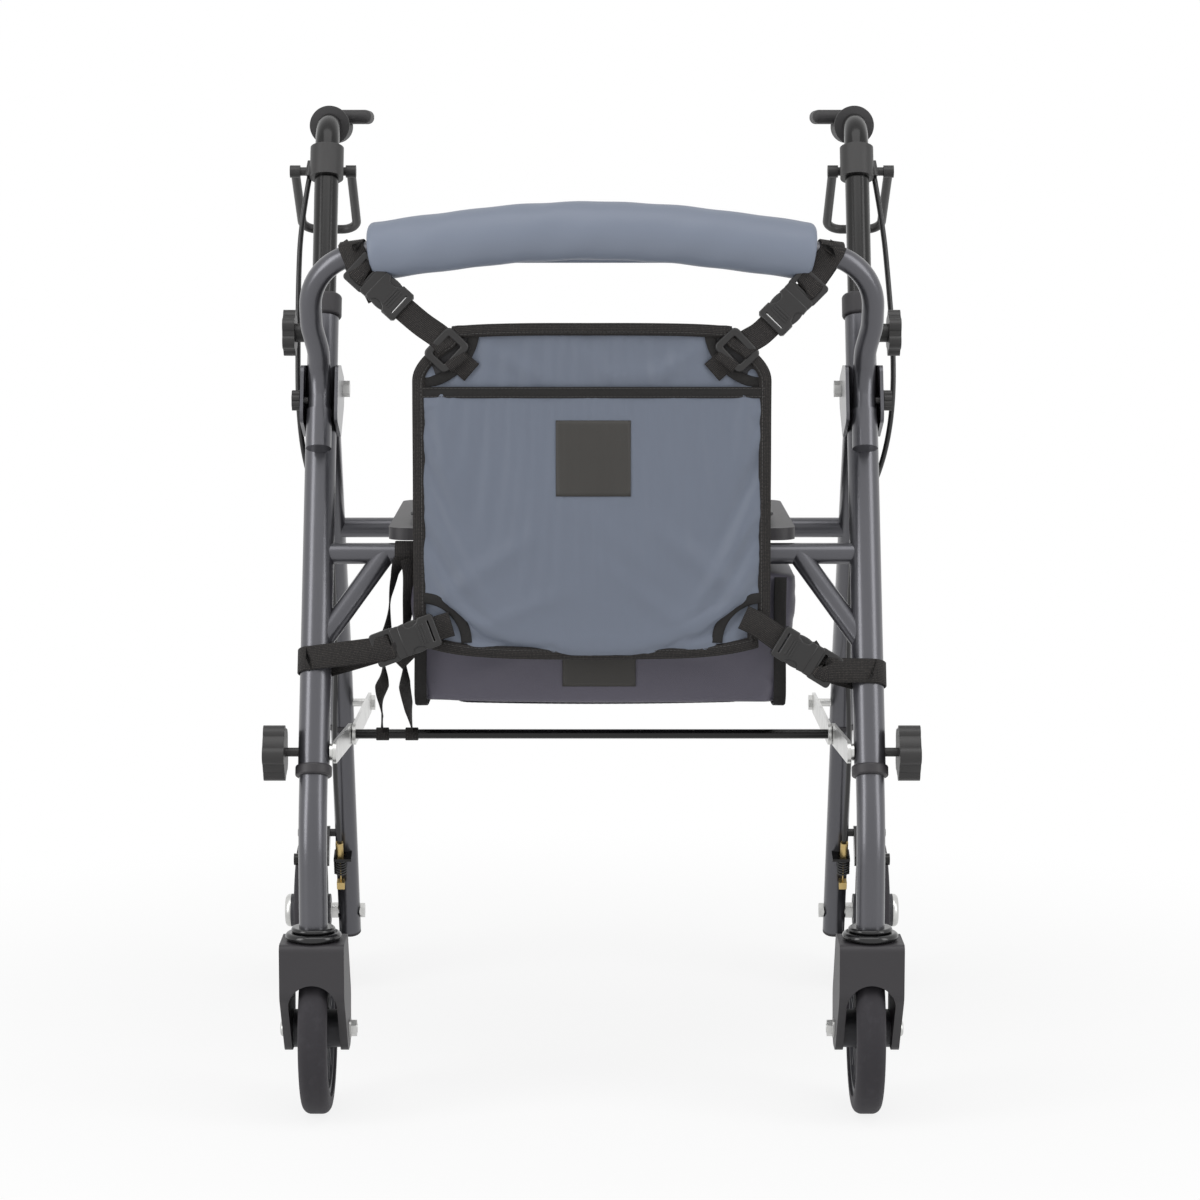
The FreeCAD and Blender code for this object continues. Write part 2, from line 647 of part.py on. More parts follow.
def hinge_brackets():
    """Plates that carry the rear frame's pivots, with their bolts and the link pivots."""
    lean = math.radians(dim.leg_lean)
    base = on_leg(dim.hinge_height - dim.cheek_drop)
    pivot_back = (hinge - base).dot(Vector(0, math.cos(lean), -math.sin(lean)))
    pivot_up = (hinge - base).dot(along_leg())
    front, half, margin = dim.cheek_front, dim.cheek_half_length, dim.cheek_margin
    local = [
        (-front, -half, 8), (-front, half, 8), (0, dim.cheek_top, 10),
        (pivot_back + margin, pivot_up + margin, 10),
        (pivot_back + margin, pivot_up - margin, 10), (front / 2, -half, 10),
    ]
    outline = []
    for back, up, radius in local:
        across = back * math.cos(lean) + up * math.sin(lean)
        above = -back * math.sin(lean) + up * math.cos(lean)
        outline.append(((base.y + across, base.z + above), radius))
    offset = dim.main_tube_diameter / 2 + dim.cheek_thickness / 2
    plates = []
    for name, side in (("outer", 1), ("inner", -1)):
        plate = padded("cheek_" + name, outline, "cheek_thickness",
                       Vector(leg_side + side * offset, 0, 0))
        hole = rod("cheek_hole_" + name, "stud_diameter", "2 * cheek_thickness",
                   hinge + OUT * (side * offset - dim.cheek_thickness), OUT)
        tools = [hole]
        if side == 1:
            knob_at = on_leg(dim.back_knob_height, dim.hoop_offset)
            tools.append(rod("cheek_knob_hole", "back_stud_diameter + 2 * running_clearance",
                             "2 * cheek_thickness",
                             knob_at + OUT * (offset - dim.cheek_thickness), OUT))
        plates.append(cut("cheek_holed_" + name, plate, tools))
    plates += [mirrored("cheek_mirror_%d" % n, plate) for n, plate in enumerate(plates)]
    keep("hinge_brackets", grouped("cheeks", plates))

    face = dim.main_tube_diameter / 2 + dim.cheek_thickness
    start = hinge - OUT * (face + 6)
    bolt = rod("hinge_bolt", "stud_diameter", "main_tube_diameter + 2 * cheek_thickness + 8",
               start, OUT)
    head = hexagon("hinge_head", 13, 5, hinge + OUT * face, OUT)
    nut = hexagon("hinge_nut", 13, 6, hinge - OUT * face, OUT * -1)
    pivot = joined("hinge_pivot", [bolt, head, nut])
    tube_side = on_leg(dim.knob_height) - OUT * (dim.main_tube_diameter / 2)
    boss = rod("link_boss", "15", "3 - air_gap", tube_side, OUT * -1)
    stud = rod("link_stud", "stud_diameter", "link_thickness + 3", tube_side, OUT * -1)
    link_pivot = joined("link_pivot", [boss, stud])
    keep("frame_bolts", pair("frame_bolt_pair", grouped("frame_bolt", [pivot, link_pivot])))


def star_knob(name, diameter, thickness, centre, standoff, reach, stud, neck=None, lobes=5):
    """A lobed knob whose stud points inward; centre is the side of what it clamps."""
    face = centre + OUT * standoff
    core = rod(name + "_core", "%s * 0.84" % diameter, thickness, face, OUT)
    pieces = [core]
    size = getattr(dim, diameter)
    for step in range(lobes):
        angle = 2 * math.pi * (step + 0.5) / lobes
        out = Vector(0, math.cos(angle), math.sin(angle)) * (size * 0.33)
        pieces.append(rod("%s_lobe_%d" % (name, step), "%s * 0.34" % diameter, thickness,
                          face + out, OUT))
    pieces.append(rod(name + "_stud", stud, str(standoff + reach), face, OUT * -1))
    if neck:
        pieces.append(rod(name + "_neck", neck, str(standoff - dim.air_gap), face, OUT * -1))
    keep_sides(name, joined(name + "_body", pieces))


def knobs():
    """Knobs of the lower legs, the handle height and the backrest."""
    half = dim.main_tube_diameter / 2
    side = on_leg(dim.knob_height) + OUT * half
    star_knob("leg_knob", "knob_diameter", "knob_thickness", side, dim.knob_standoff,
              half + dim.stud_diameter / 2, "stud_diameter")
    clamp = on_leg(dim.handle_knob_height) + OUT * half
    to_handle = half - dim.handle_tube_diameter / 2 - dim.air_gap
    star_knob("handle_knob", "handle_knob_diameter", "handle_knob_thickness", clamp,
              dim.knob_standoff, to_handle, "stud_diameter", "handle_knob_neck", 6)
    cheek_face = half + dim.cheek_thickness
    back = on_leg(dim.back_knob_height, dim.hoop_offset) + OUT * cheek_face
    to_hoop = cheek_face - dim.hoop_diameter / 2 - dim.air_gap
    star_knob("backrest_knob", "back_knob_diameter", "back_knob_thickness", back,
              dim.air_gap * 2, to_hoop, "back_stud_diameter", lobes=8)


def rear_frame():
    """Rear upper tubes, lower legs, crossbar, plugs, bolts and axles."""
    rise = (hinge - knee).normalize()
    top = hinge + rise * dim.rear_tube_top
    step = on_rear_leg(dim.rear_step_height)
    points = [top, knee, step]
    tube, outside = bent_tube("rear_tube", "rear_tube_diameter", "rear_tube_wall", points,
                              [dim.rear_knee_radius])
    pin_hole = rod("rear_pin_hole", "stud_diameter + 2 * running_clearance",
                   "2 * rear_tube_diameter", hinge - OUT * dim.rear_tube_diameter, OUT)
    link_hole = rod("rear_link_hole", "stud_diameter", "2 * rear_tube_diameter",
                    on_rear_leg(dim.rear_link_height) - OUT * dim.rear_tube_diameter, OUT)
    keep("rear_upper_tubes", pair(
        "rear_tube_pair", cut("rear_tube_holed", tube, [pin_hole, link_hole])))

    down = down_rear_leg()
    inside_top = on_rear_leg(dim.rear_step_height + 12)
    inserted = rod("rear_insert", "rear_tube_diameter - 2 * rear_tube_wall",
                   str((inside_top - step).Length), inside_top, down)
    foot = on_rear_leg(dim.rear_leg_foot)
    shank = rod("rear_shank", "rear_leg_diameter", str((foot - step).Length + 2),
                step - down * 2, down)
    hollow = rod("rear_shank_bore", "rear_leg_diameter - 2 * rear_leg_wall",
                 str((foot - inside_top).Length), inside_top, down)
    axle_hole = rod("rear_axle_hole", "axle_diameter", "2 * rear_leg_diameter",
                    rear_hub_on_leg - OUT * dim.rear_leg_diameter, OUT)
    shank_solid = joined("rear_leg_solid", [inserted, shank])
    leg = cut("rear_leg", shank_solid, [hollow, axle_hole])
    keep("rear_lower_legs", pair("rear_leg_pair", leg))

    bar_start = hinge_line(dim.rear_crossbar_height)
    bar = rod("rear_bar", "crossbar_diameter", "front_track",
              Vector(-leg_side, bar_start.y, bar_start.z), OUT)
    keep("rear_crossbar", cut("rear_bar_fitted", bar,
                              [outside, mirrored("rear_outside_mirror", outside)]))

    plug = rod("rear_plug_cap", "rear_tube_diameter", "rear_plug", top, rise)
    shim = rod("rear_step_ring", "rear_tube_diameter + 1.6", "6", step - down * 1, down)
    shim_bore = rod("rear_step_bore", "rear_tube_diameter", "1", step - down * 1, down)
    shim_low = rod("rear_step_low", "rear_leg_diameter", "6", step - down * 1, down)
    shim_cut = cut("rear_step_collar", shim, [shim_bore, shim_low])
    foot_plug = rod("rear_foot_plug", "rear_leg_diameter", "rear_plug", foot, down)
    keep("rear_leg_trim", pair(
        "rear_trim_pair", grouped("rear_trim", [plug, shim_cut, foot_plug])))

    at_link = on_rear_leg(dim.rear_link_height)
    outer = at_link + OUT * (dim.rear_tube_diameter / 2)
    inner_end = link_plane_inner + dim.link_thickness + dim.air_gap
    bolt = rod("rear_link_bolt", "stud_diameter", str(outer.x - inner_end),
               Vector(inner_end, at_link.y, at_link.z), OUT)
    head = hexagon("rear_link_head", 13, 5, outer, OUT)
    link_bolt = joined("rear_link_pin", [bolt, head])
    leg_outer = rear_leg_side + dim.rear_leg_diameter / 2
    boss_inner = rear_hub.x - rear_boss / 2 - dim.air_gap
    boss_outer = rear_hub.x + rear_boss / 2 + dim.air_gap
    leg_inner = rear_leg_side - dim.rear_leg_diameter / 2
    spacer_start = Vector(leg_outer, rear_hub.y, rear_hub.z)
    spacer = rod("rear_spacer", "16", str(boss_inner - leg_outer), spacer_start, OUT)
    axle_start = Vector(leg_inner - 5, rear_hub.y, rear_hub.z)
    axle = rod("rear_axle", "axle_diameter", str(boss_outer + 3 - axle_start.x),
               axle_start, OUT)
    axle_head = hexagon("rear_axle_head", 13, 5, axle_start, OUT)
    cap = rod("rear_axle_cap", "boss_diameter", "6", Vector(boss_outer, rear_hub.y, rear_hub.z),
              OUT)
    dome = rounded("rear_axle_dome", cap, 5,
                   lambda edge: edge.CenterOfMass.x > boss_outer + 5)
    whole = joined("rear_axle_whole", [spacer, axle, axle_head, dome])
    saddle = cut("rear_axle_fitted", whole, [shank_outside(step, foot, down)])
    through = rod("rear_axle_core", "axle_diameter", str(leg_outer - leg_inner),
                  Vector(leg_inner, rear_hub.y, rear_hub.z), OUT)
    axles = joined("rear_axle_refilled", [saddle, through])
    keep("rear_bolts", pair("rear_bolt_pair", grouped("rear_bolt", [link_bolt, axles])))
    return step, foot, down


def shank_outside(step, foot, down):
    """The rear lower leg's outside, which the axle's spacer and head sit on."""
    return rod("rear_shank_outside", "rear_leg_diameter", str((foot - step).Length),
               step, down)


def hinge_line(height):
    """Point on the rear leg's upper stretch."""
    run = knee - hinge
    return hinge + run * ((height - hinge.z) / run.z)


def plate_link(name, start, end, width, thickness, plane, holes):
    """A flat bar with round ends in a plane of constant X; holes are two formulas."""
    first = Vector(plane, start.y, start.z)
    second = Vector(plane, end.y, end.z)
    run = second - first
    turn = Rotation(OUT, UP, run, "ZXY")
    corner = first - (turn.multVec(Vector(0, 1, 0))) * (getattr(dim, width) / 2)
    bar = block(name + "_bar", (thickness, width, str(run.Length)), corner, turn)
    ends = [rod("%s_end_%d" % (name, n), width, thickness, at, OUT)
            for n, at in enumerate((first, second))]
    body = joined(name + "_body", [bar] + ends)
    tools = [rod("%s_hole_%d" % (name, n), hole, thickness, at, OUT)
             for n, (hole, at) in enumerate(zip(holes, (first, second))) if hole]
    return cut(name, body, tools)


def fold_linkage():
    """Front links, the rod across the walker and rear links."""
    rod_at = Vector(0, dim.rod_back, dim.rod_height)
    front_at = on_leg(dim.knob_height)
    rear_at = on_rear_leg(dim.rear_link_height)
    running_stud = "stud_diameter + 2 * running_clearance"
    front = plate_link("front_link", front_at, rod_at, "link_width", "link_thickness",
                       link_plane_outer, [running_stud, "rod_diameter"])
    keep("front_fold_links", pair("front_link_pair", front))
    rod_half = link_plane_outer + dim.link_thickness
    keep("fold_rod", rod("cross_rod", "rod_diameter", str(2 * rod_half),
                         rod_at - OUT * rod_half, OUT))
    rear = plate_link("rear_link", rod_at, rear_at, "link_width", "link_thickness",
                      link_plane_inner, ["rod_diameter + 2 * running_clearance", None])
    pin_head = hexagon("rear_link_pin_head", 13, 4,
                       Vector(link_plane_inner, rear_at.y, rear_at.z), OUT * -1)
    keep("rear_fold_links", pair("rear_link_pair", joined("rear_link_pinned",
                                                          [rear, pin_head])))


def helix_edges(radius, rise, turns, start, axis, side):
    """Arcs of a coil: two for each quarter turn, tangent to each other."""
    across = axis.cross(side)
    steps = int(turns * 4)

    def point(step):
        angle = math.pi / 2 * step
        return (start + side * (radius * math.cos(angle))
                + across * (radius * math.sin(angle)) + axis * (rise * step / 4))

    def heading(step):
        angle = math.pi / 2 * step
        turn = across * math.cos(angle) - side * math.sin(angle)
        return (turn * radius + axis * (rise / (2 * math.pi))).normalize()

    edges = []
    for step in range(steps):
        edges += biarc(point(step), heading(step), point(step + 1), heading(step + 1))
    return edges


def biarc(start, first, end, last):
    """Two arcs that meet smoothly and leave and arrive along the given headings."""
    gap = end - start
    both = first + last
    square = 2 * first.dot(last) - 2
    linear = -2 * gap.dot(both)
    reach = (-linear - math.sqrt(linear ** 2 - 4 * square * gap.dot(gap))) / (2 * square)
    meet = (start + first * reach + end - last * reach) * 0.5
    return [arc_from(start, first, meet), arc_from(end, last * -1, meet)]


def arc_from(start, heading, end):
    """The arc that leaves start along heading and ends at end."""
    chord = end - start
    along = Vector(chord).normalize()
    bulge = heading - along * heading.dot(along)
    bulge.normalize()
    height = chord.Length / 2 * math.tan(heading.getAngle(along) / 2)
    return Part.Arc(start, (start + end) * 0.5 + bulge * height, end).toShape()


def brakes(down):
    """Brake arms, brackets, cable adjusters, springs and cable clamps."""
    offset = OUT * dim.fitting_side
    end = on_rear_leg(dim.cable_end_height, dim.fitting_offset) + offset
    barrel = rod("brake_barrel", "barrel_diameter", "barrel_length", end, down)
    wire = rod("brake_wire", "inner_wire_diameter", "spring_length + 18",
               end + down * dim.barrel_length, down)
    turn = Rotation(OUT, UP, down, "ZXY")
    plate_at = end + down * dim.barrel_length
    forward = turn.multVec(Vector(0, 1, 0))
    plate = block("brake_plate", ("18", "fitting_offset", "3"),
                  plate_at - OUT * 12 - forward * (dim.fitting_offset * 0.62), turn)
    wire_hole = rod("brake_wire_hole", "inner_wire_diameter", "3", plate_at, down)
    pivot_at = on_rear_leg(dim.brake_pivot_height)
    leg_half = dim.rear_leg_diameter / 2
    pivot = rod("brake_pivot", "stud_diameter", str(leg_half + 38), pivot_at, OUT)
    shank = rod("brake_shank_outside", "rear_leg_diameter", "260",
                on_rear_leg(dim.rear_step_height), down)
    bracket = cut("brake_bracket", plate, [shank, wire_hole])
    peg = cut("brake_peg", pivot, [shank])
    keep("brake_brackets", pair("brake_bracket_pair",
                                grouped("brake_bracket_set", [bracket, peg])))

    spring_start = plate_at + down * (3 + dim.spring_wire / 2)
    turns = 6
    radius = (dim.spring_diameter - dim.spring_wire) / 2
    rise = (dim.spring_length - dim.spring_wire) / turns
    coil_path = Part.Wire(helix_edges(radius, rise, turns, spring_start, down, OUT))
    coil_ring = Part.Wire(Part.Circle(
        coil_path.Edges[0].Vertexes[0].Point,
        coil_path.Edges[0].tangentAt(coil_path.Edges[0].FirstParameter),
        dim.spring_wire / 2).toShape())
    coil = doc.addObject("Part::Feature", "brake_spring")
    coil.Shape = coil_path.makePipeShell([coil_ring], True, False)
    print("spring gap between turns %.2f mm" % (rise - dim.spring_wire))
    keep("brake_springs", pair("brake_spring_pair", coil))

    clamp_at = plate_at + down * (3 + dim.spring_length + 8)
    half = dim.clamp_size / 2
    clamp = block("cable_clamp", ("clamp_size", "clamp_size", "clamp_size"),
                  clamp_at - OUT * half - forward * half, turn)
    screw = rod("clamp_screw", "4.5", "4", clamp_at + down * half - forward * half,
                forward * -1)
    clamp_body = joined("clamp_body", [clamp, screw])
    bored = cut("clamp_bored", clamp_body, [wire])
    lead = cut("brake_wire_lead", wire, [plate])
    wire_top = rod("brake_wire_top", "inner_wire_diameter", "3", plate_at, down)
    wires = joined("brake_wires", [lead, wire_top])
    keep("cable_clamps", pair("clamp_pair", grouped("clamp_set", [barrel, wires, bored])))

    shoe_distance = wheel_radius + dim.brake_gap + dim.shoe_diameter / 2
    angle = math.radians(dim.shoe_angle)
    shoe_at = rear_hub + Vector(0, -math.cos(angle), math.sin(angle)) * shoe_distance
    arm_plane = rear_leg_side + leg_half + 5
    running = "stud_diameter + 2 * running_clearance"
    arm = plate_link("brake_lever_plate", pivot_at, shoe_at, "arm_width", "arm_thickness",
                     arm_plane, [running, None])
    sleeve_at = Vector(arm_plane, pivot_at.y, pivot_at.z)
    sleeve = rod("brake_sleeve", "arm_width", "16", sleeve_at, OUT)
    sleeve_bore = rod("brake_sleeve_bore", running, "16", sleeve_at, OUT)
    shoe_end = rear_hub.x + dim.tyre_width / 2
    shoe = rod("brake_shoe_bar", "shoe_diameter", str(shoe_end - arm_plane),
               Vector(arm_plane, shoe_at.y, shoe_at.z), OUT)
    arm_body = joined("brake_arm_body", [arm, sleeve, shoe])
    keep_sides("brake_arm", cut("brake_arm", arm_body, [sleeve_bore]))


def seat():
    """Seat pan with its hinge clips, and the cushion."""
    bar = on_leg(dim.front_crossbar_height, side=0)
    half = dim.pan_width / 2
    front = bar.y - 2
    pan = block("pan", ("pan_width", "pan_depth", "pan_thickness"),
                Vector(-half, front, dim.pan_height))
    pan_soft = rounded("pan_rounded", pan, dim.pan_rounding,
                       lambda edge: abs(edge.tangentAt(edge.FirstParameter).z) > 0.9)
    clips = []
    bores = []
    for name, side in (("right", 1), ("left", -1)):
        start = Vector(side * dim.clip_spread / 2 - dim.clip_length / 2, bar.y, bar.z)
        clips.append(rod("clip_" + name, "crossbar_diameter + 2 * clip_wall", "clip_length",
                         start, OUT))
        bores.append(rod("clip_bore_" + name, "crossbar_diameter + 2 * running_clearance",
                         "clip_length", start, OUT))
        clips.append(block("clip_web_" + name,
                           ("clip_length", "crossbar_diameter / 2 + clip_wall",
                            "pan_height - front_crossbar_height + 1"),
                           start))
    keep("seat_pan", cut("pan_clipped", joined("pan_with_clips", [pan_soft] + clips), bores))

    width = dim.cushion_width
    depth = dim.cushion_depth
    top = dim.pan_height + dim.pan_thickness
    middle = Vector(0, front + dim.cushion_setback + depth / 2, 0)
    foam = block("cushion_block", ("cushion_width", "cushion_depth", "cushion_height"),
                 Vector(-width / 2, middle.y - depth / 2, top))
    drawn = rounded("cushion_drawn", foam, dim.cushion_rounding, lambda edge: True)
    radius = dim.cushion_crown
    crest = top + dim.cushion_height
    along = rod("crown_along", "2 * cushion_crown", "2 * cushion_depth",
                Vector(0, middle.y - depth, crest - radius), BACK)
    across = rod("crown_across", "2 * cushion_crown", "2 * cushion_width",
                 Vector(-width, middle.y, crest - radius), OUT)
    crown = doc.addObject("Part::MultiCommon", "cushion")
    crown.Shapes = [drawn, along, across]
    keep("seat_cushion", crown)


def handles():
    """Handle tubes, grips, brake housings and lever loops."""
    lean = along_leg()
    top = on_leg(dim.main_tube_foot) + lean * dim.main_tube_length
    corner = on_leg(dim.grip_height)
    finish = Vector(leg_side, dim.handle_end, dim.grip_height)
    points = [top - lean * dim.handle_inset, corner, finish]
    tube, outside = bent_tube("handle_tube", "handle_tube_diameter", "handle_tube_wall",
                              points, [dim.handle_bend_radius])
    keep_sides("handle_tube", tube)

    grip_start = Vector(leg_side, dim.grip_front, dim.grip_height)
    barrel = rod("grip_barrel", "grip_diameter", "grip_length", grip_start, BACK)
    smooth = rounded("grip_smooth", barrel, 6,
                     lambda edge: edge.Closed and edge.CenterOfMass.y > 0)
    flange = rod("grip_flange", "flange_diameter", "flange_length", grip_start, BACK)
    ribs = []
    for number in (1, 2):
        at = grip_start + BACK * (dim.flange_length * (1 + 1.2 * number))
        ribs.append(rod("grip_rib_%d" % number, "grip_diameter + 2", "3", at, BACK))
    wing = block("grip_wing", ("wing_reach", "wing_length", "wing_height"),
                 Vector(leg_side - dim.wing_reach,
                        dim.grip_front + dim.grip_length - dim.wing_length - 2,
                        dim.grip_height + dim.grip_diameter / 2 - dim.wing_height))
    wing_soft = rounded("grip_wing_soft", wing, 6, lambda edge: True)
    grip = joined("grip_body", [smooth, flange, wing_soft] + ribs)
    keep_sides("grip", cut("grip", grip, [outside]))

    housing_height = dim.grip_height - dim.housing_drop
    middle = on_leg(housing_height)
    start = middle - lean * (dim.housing_length / 2)
    shell = rod("housing_shell", "housing_diameter", "housing_length", start, lean)
    pivot = on_leg(housing_height, -dim.lever_offset)
    ear_width = dim.housing_diameter - 7
    ear = rod("housing_ear", "lever_pin_diameter + 9", str(ear_width),
              pivot - OUT * (ear_width / 2), OUT)
    neck = block("housing_neck", (str(ear_width), "lever_offset", "housing_length - 12"),
                 start + lean * 6 - OUT * (ear_width / 2),
                 Rotation(OUT, UP, lean, "ZXY"))
    cable_start, cable_next = cable_points()[:2]
    stub = rod("housing_stub", "cable_diameter + 4", "14", cable_start,
               cable_start - cable_next)
    housing = joined("housing_body", [shell, ear, neck, stub])
    pin_bore = rod("housing_bore", "lever_pin_diameter + 2 * running_clearance",
                   "2 * housing_diameter", pivot - OUT * dim.housing_diameter, OUT)
    keep_sides("brake_housing", cut("housing", housing, [outside, pin_bore]))

    rear = pivot + Vector(0, dim.lever_reach, -dim.lever_drop)
    outer = OUT * dim.lever_outer
    inner = OUT * -dim.lever_inner
    loop = bent_rod("lever_loop", "lever_diameter",
                    [pivot + outer, rear + outer, rear + inner, pivot + inner],
                    [dim.lever_corner, dim.lever_corner])
    pin = rod("lever_pin", "lever_pin_diameter", "lever_outer + lever_inner",
              pivot + inner, OUT)
    caps = [rod("lever_cap_%d" % n, "lever_diameter + 3", "lever_diameter + 1",
                pivot + side - OUT * (dim.lever_diameter / 2 + 0.5), OUT)
            for n, side in enumerate((outer, inner))]
    keep_sides("brake_lever", joined("lever", [loop, pin] + caps))


def cable_points():
    """Route of the right brake cable, from the brake housing to the rear adjuster."""
    end = on_rear_leg(dim.cable_end_height, dim.fitting_offset) + OUT * dim.fitting_side
    down = down_rear_leg()
    leave = on_leg(dim.grip_height - dim.housing_drop) + Vector(16.5, 5.3, -12)
    beside_hinge = hinge + Vector(33.5, 20, -18)
    hanging = [
        leave + (beside_hinge - leave) * share + Vector(outward, forward, 0)
        for share, outward, forward in ((0.208, 4.5, -0.5), (0.467, 5, -3), (0.726, 4.5, -6))
    ]
    return [leave] + hanging + [
        beside_hinge, Vector(272, -66, 570),
        Vector(257, -32, 525), Vector(249, 10, 478), Vector(250, 48, 430),
        Vector(252, 84, 385), Vector(254, 115, 338), Vector(257, 136, 290),
        Vector(258.5, 155, 243), Vector(258.3, 175, 203), end - down * 20, end,
    ]


def cables():
    """Both brake cables; the right one bows further out."""
    points = cable_points()
    radii = smooth_radii(points)
    print("cable radii", [round(radius) for radius in radii])
    right = bent_rod("cable_right", "cable_diameter", points, radii)
    keep("brake_cable_right", right)
    left_points = [Vector(-point.x, point.y, point.z) for point in points]
    for number, bow in ((2, 3), (3, 7), (4, 7), (5, 4)):
        left_points[number].x += bow
    left = bent_rod("cable_left", "cable_diameter", left_points, smooth_radii(left_points))
    keep("brake_cable_left", left)


def strap(name, start, end, face, width="strap_width", thickness="strap_thickness"):
    """A flat strap from start to end whose broad side looks along face."""
    run = end - start
    turn = Rotation(run.cross(face), face, run, "ZXY")
    half = Vector(-getattr(dim, width) / 2, -getattr(dim, thickness) / 2, 0)
    return block(name, (width, thickness, str(run.Length)), start + turn.multVec(half), turn)


def loop_round(name, centre, axis, diameter, width, thickness="strap_thickness"):
    """A band of webbing round a bar."""
    start = centre - axis * (getattr(dim, width) / 2)
    outside = rod(name, "%s + 2 * (%s)" % (diameter, thickness), width, start, axis)
    bore = rod(name + "_bore", diameter, width, start, axis)
    return cut(name + "_band", outside, [bore])


def tote(hoop):
    """Front panel with its pocket, hung by four buckled straps."""
    left, right = dim.tote_left, dim.tote_right
    bottom, top = dim.tote_bottom, dim.tote_top
    notch = dim.tote_chamfer
    sheet_front = dim.tote_front + dim.pocket_thickness
    sheet_middle = sheet_front + dim.tote_thickness / 2
    sheet_outline = [
        ((left, bottom), 12), ((right, bottom), 12), (right, top - notch),
        (right - notch, top), (left + notch, top), (left, top - notch),
    ]
    panel = padded("tote_sheet", sheet_outline, "tote_thickness",
                   Vector(0, sheet_middle, 0), "XZ_Plane")
    pocket_outline = [
        ((left + 4, bottom + 3), 14), ((right - 4, bottom + 3), 14),
        ((right - 4, dim.pocket_top), 3), ((left + 4, dim.pocket_top), 3),
    ]
    pocket = padded("tote_pocket", pocket_outline, "pocket_thickness",
                    Vector(0, dim.tote_front + dim.pocket_thickness / 2, 0), "XZ_Plane")
    keep("tote_bag", joined("tote", [panel, pocket]))

    lean = along_leg()
    main = "main_tube_diameter"
    corner = Vector(dim.hoop_half_width, dim.hoop_corner_front, dim.hoop_corner_height)
    middle = Vector(0, corner.y - dim.hoop_bow, corner.z + dim.hoop_arch)
    pieces = []
    for name, side in (("left", -1), ("right", 1)):
        edge = left if side < 0 else right
        ring_at = Vector(edge - side * (notch + 2), sheet_middle, top - 14)
        flip = Vector(side, 1, 1)
        hoop_at = corner + (middle - corner) * 0.17
        wrap_at = Vector(hoop_at.x * flip.x, hoop_at.y, hoop_at.z)
        bar = Vector((middle - corner).x * side, (middle - corner).y, (middle - corner).z)
        wrap = loop_round("hoop_wrap_" + name, wrap_at, bar.normalize(),
                          "hoop_diameter - 2", "strap_width", "2 * strap_thickness")
        pieces.append(cut("hoop_wrap_fitted_" + name, wrap, [hoop]))
        clear = dim.strap_thickness / 2 + dim.air_gap
        drop_top = wrap_at + Vector(0, -12.6, -6.5)
        drop_foot = wrap_at + Vector(0, -26, -17)
        pieces.append(strap("hoop_drop_" + name, drop_top, drop_foot, Vector(0, -0.6, 0.8)))
        pieces += buckled(name + "_top", drop_foot + Vector(-side * 2, -1.6, -2.4),
                          Vector(ring_at.x + side * 2, sheet_front - clear, ring_at.z + 6),
                          0.36)
        low = dim.left_strap_height if side < 0 else dim.right_strap_height
        wrap_low = on_leg(low, side=side * leg_side)
        pieces.append(loop_round("leg_wrap_" + name, wrap_low, lean, main, "strap_width"))
        slant = dim.strap_width / 2 * math.tan(math.radians(dim.leg_lean))
        band = dim.main_tube_diameter / 2 / lean.z + slant
        pieces += buckled(name + "_low", wrap_low - BACK * (band + clear),
                          Vector(edge - side * 10, dim.tote_front - clear, bottom + 16), 0.62)
    keep("tote_straps", grouped("strap_set", pieces))


def buckled(name, start, end, share):
    """A strap with a buckle part of the way along it."""
    run = (end - start).normalize()
    middle = start + (end - start) * share
    half = run * (dim.buckle_length / 2)
    face = BACK * -1
    square = (face - run * face.dot(run)).normalize()
    return [
        strap(name + "_strap_start", start, middle - half, square),
        strap(name + "_buckle", middle - half, middle + half, square, "buckle_width",
              "buckle_thickness"),
        strap(name + "_strap_end", middle + half, end, square),
    ]


def under_seat_bag():
    """Bag that hangs below the seat from two loops on the front crossbar."""
    bar = on_leg(dim.front_crossbar_height, side=0)
    top = dim.front_crossbar_height - dim.crossbar_diameter / 2 - dim.clip_wall - 1
    bag = block("bag", ("bag_right - bag_left", "bag_depth", str(top - dim.bag_bottom)),
                Vector(dim.bag_left, dim.bag_front, dim.bag_bottom))
    soft = rounded("bag_soft", bag, dim.bag_rounding, lambda edge: True)
    pieces = [soft]
    bores = []
    for number, side in enumerate((-90, 90)):
        start = Vector(side - dim.bag_loop_width / 2, bar.y, bar.z)
        pieces.append(rod("bag_loop_%d" % number, "crossbar_diameter + 2 * strap_thickness",
                          "bag_loop_width", start, OUT))
        pieces.append(block("bag_web_%d" % number,
                            ("bag_loop_width", "strap_thickness",
                             "front_crossbar_height - bag_bottom - bag_rounding"),
                            Vector(start.x, bar.y - dim.crossbar_diameter / 2
                                   - dim.strap_thickness,
                                   dim.bag_bottom + dim.bag_rounding)))
        bores.append(rod("bag_bore_%d" % number, "crossbar_diameter", "bag_loop_width",
                         start, OUT))
    keep("under_seat_bag", cut("bag_hung", joined("bag_with_loops", pieces), bores))


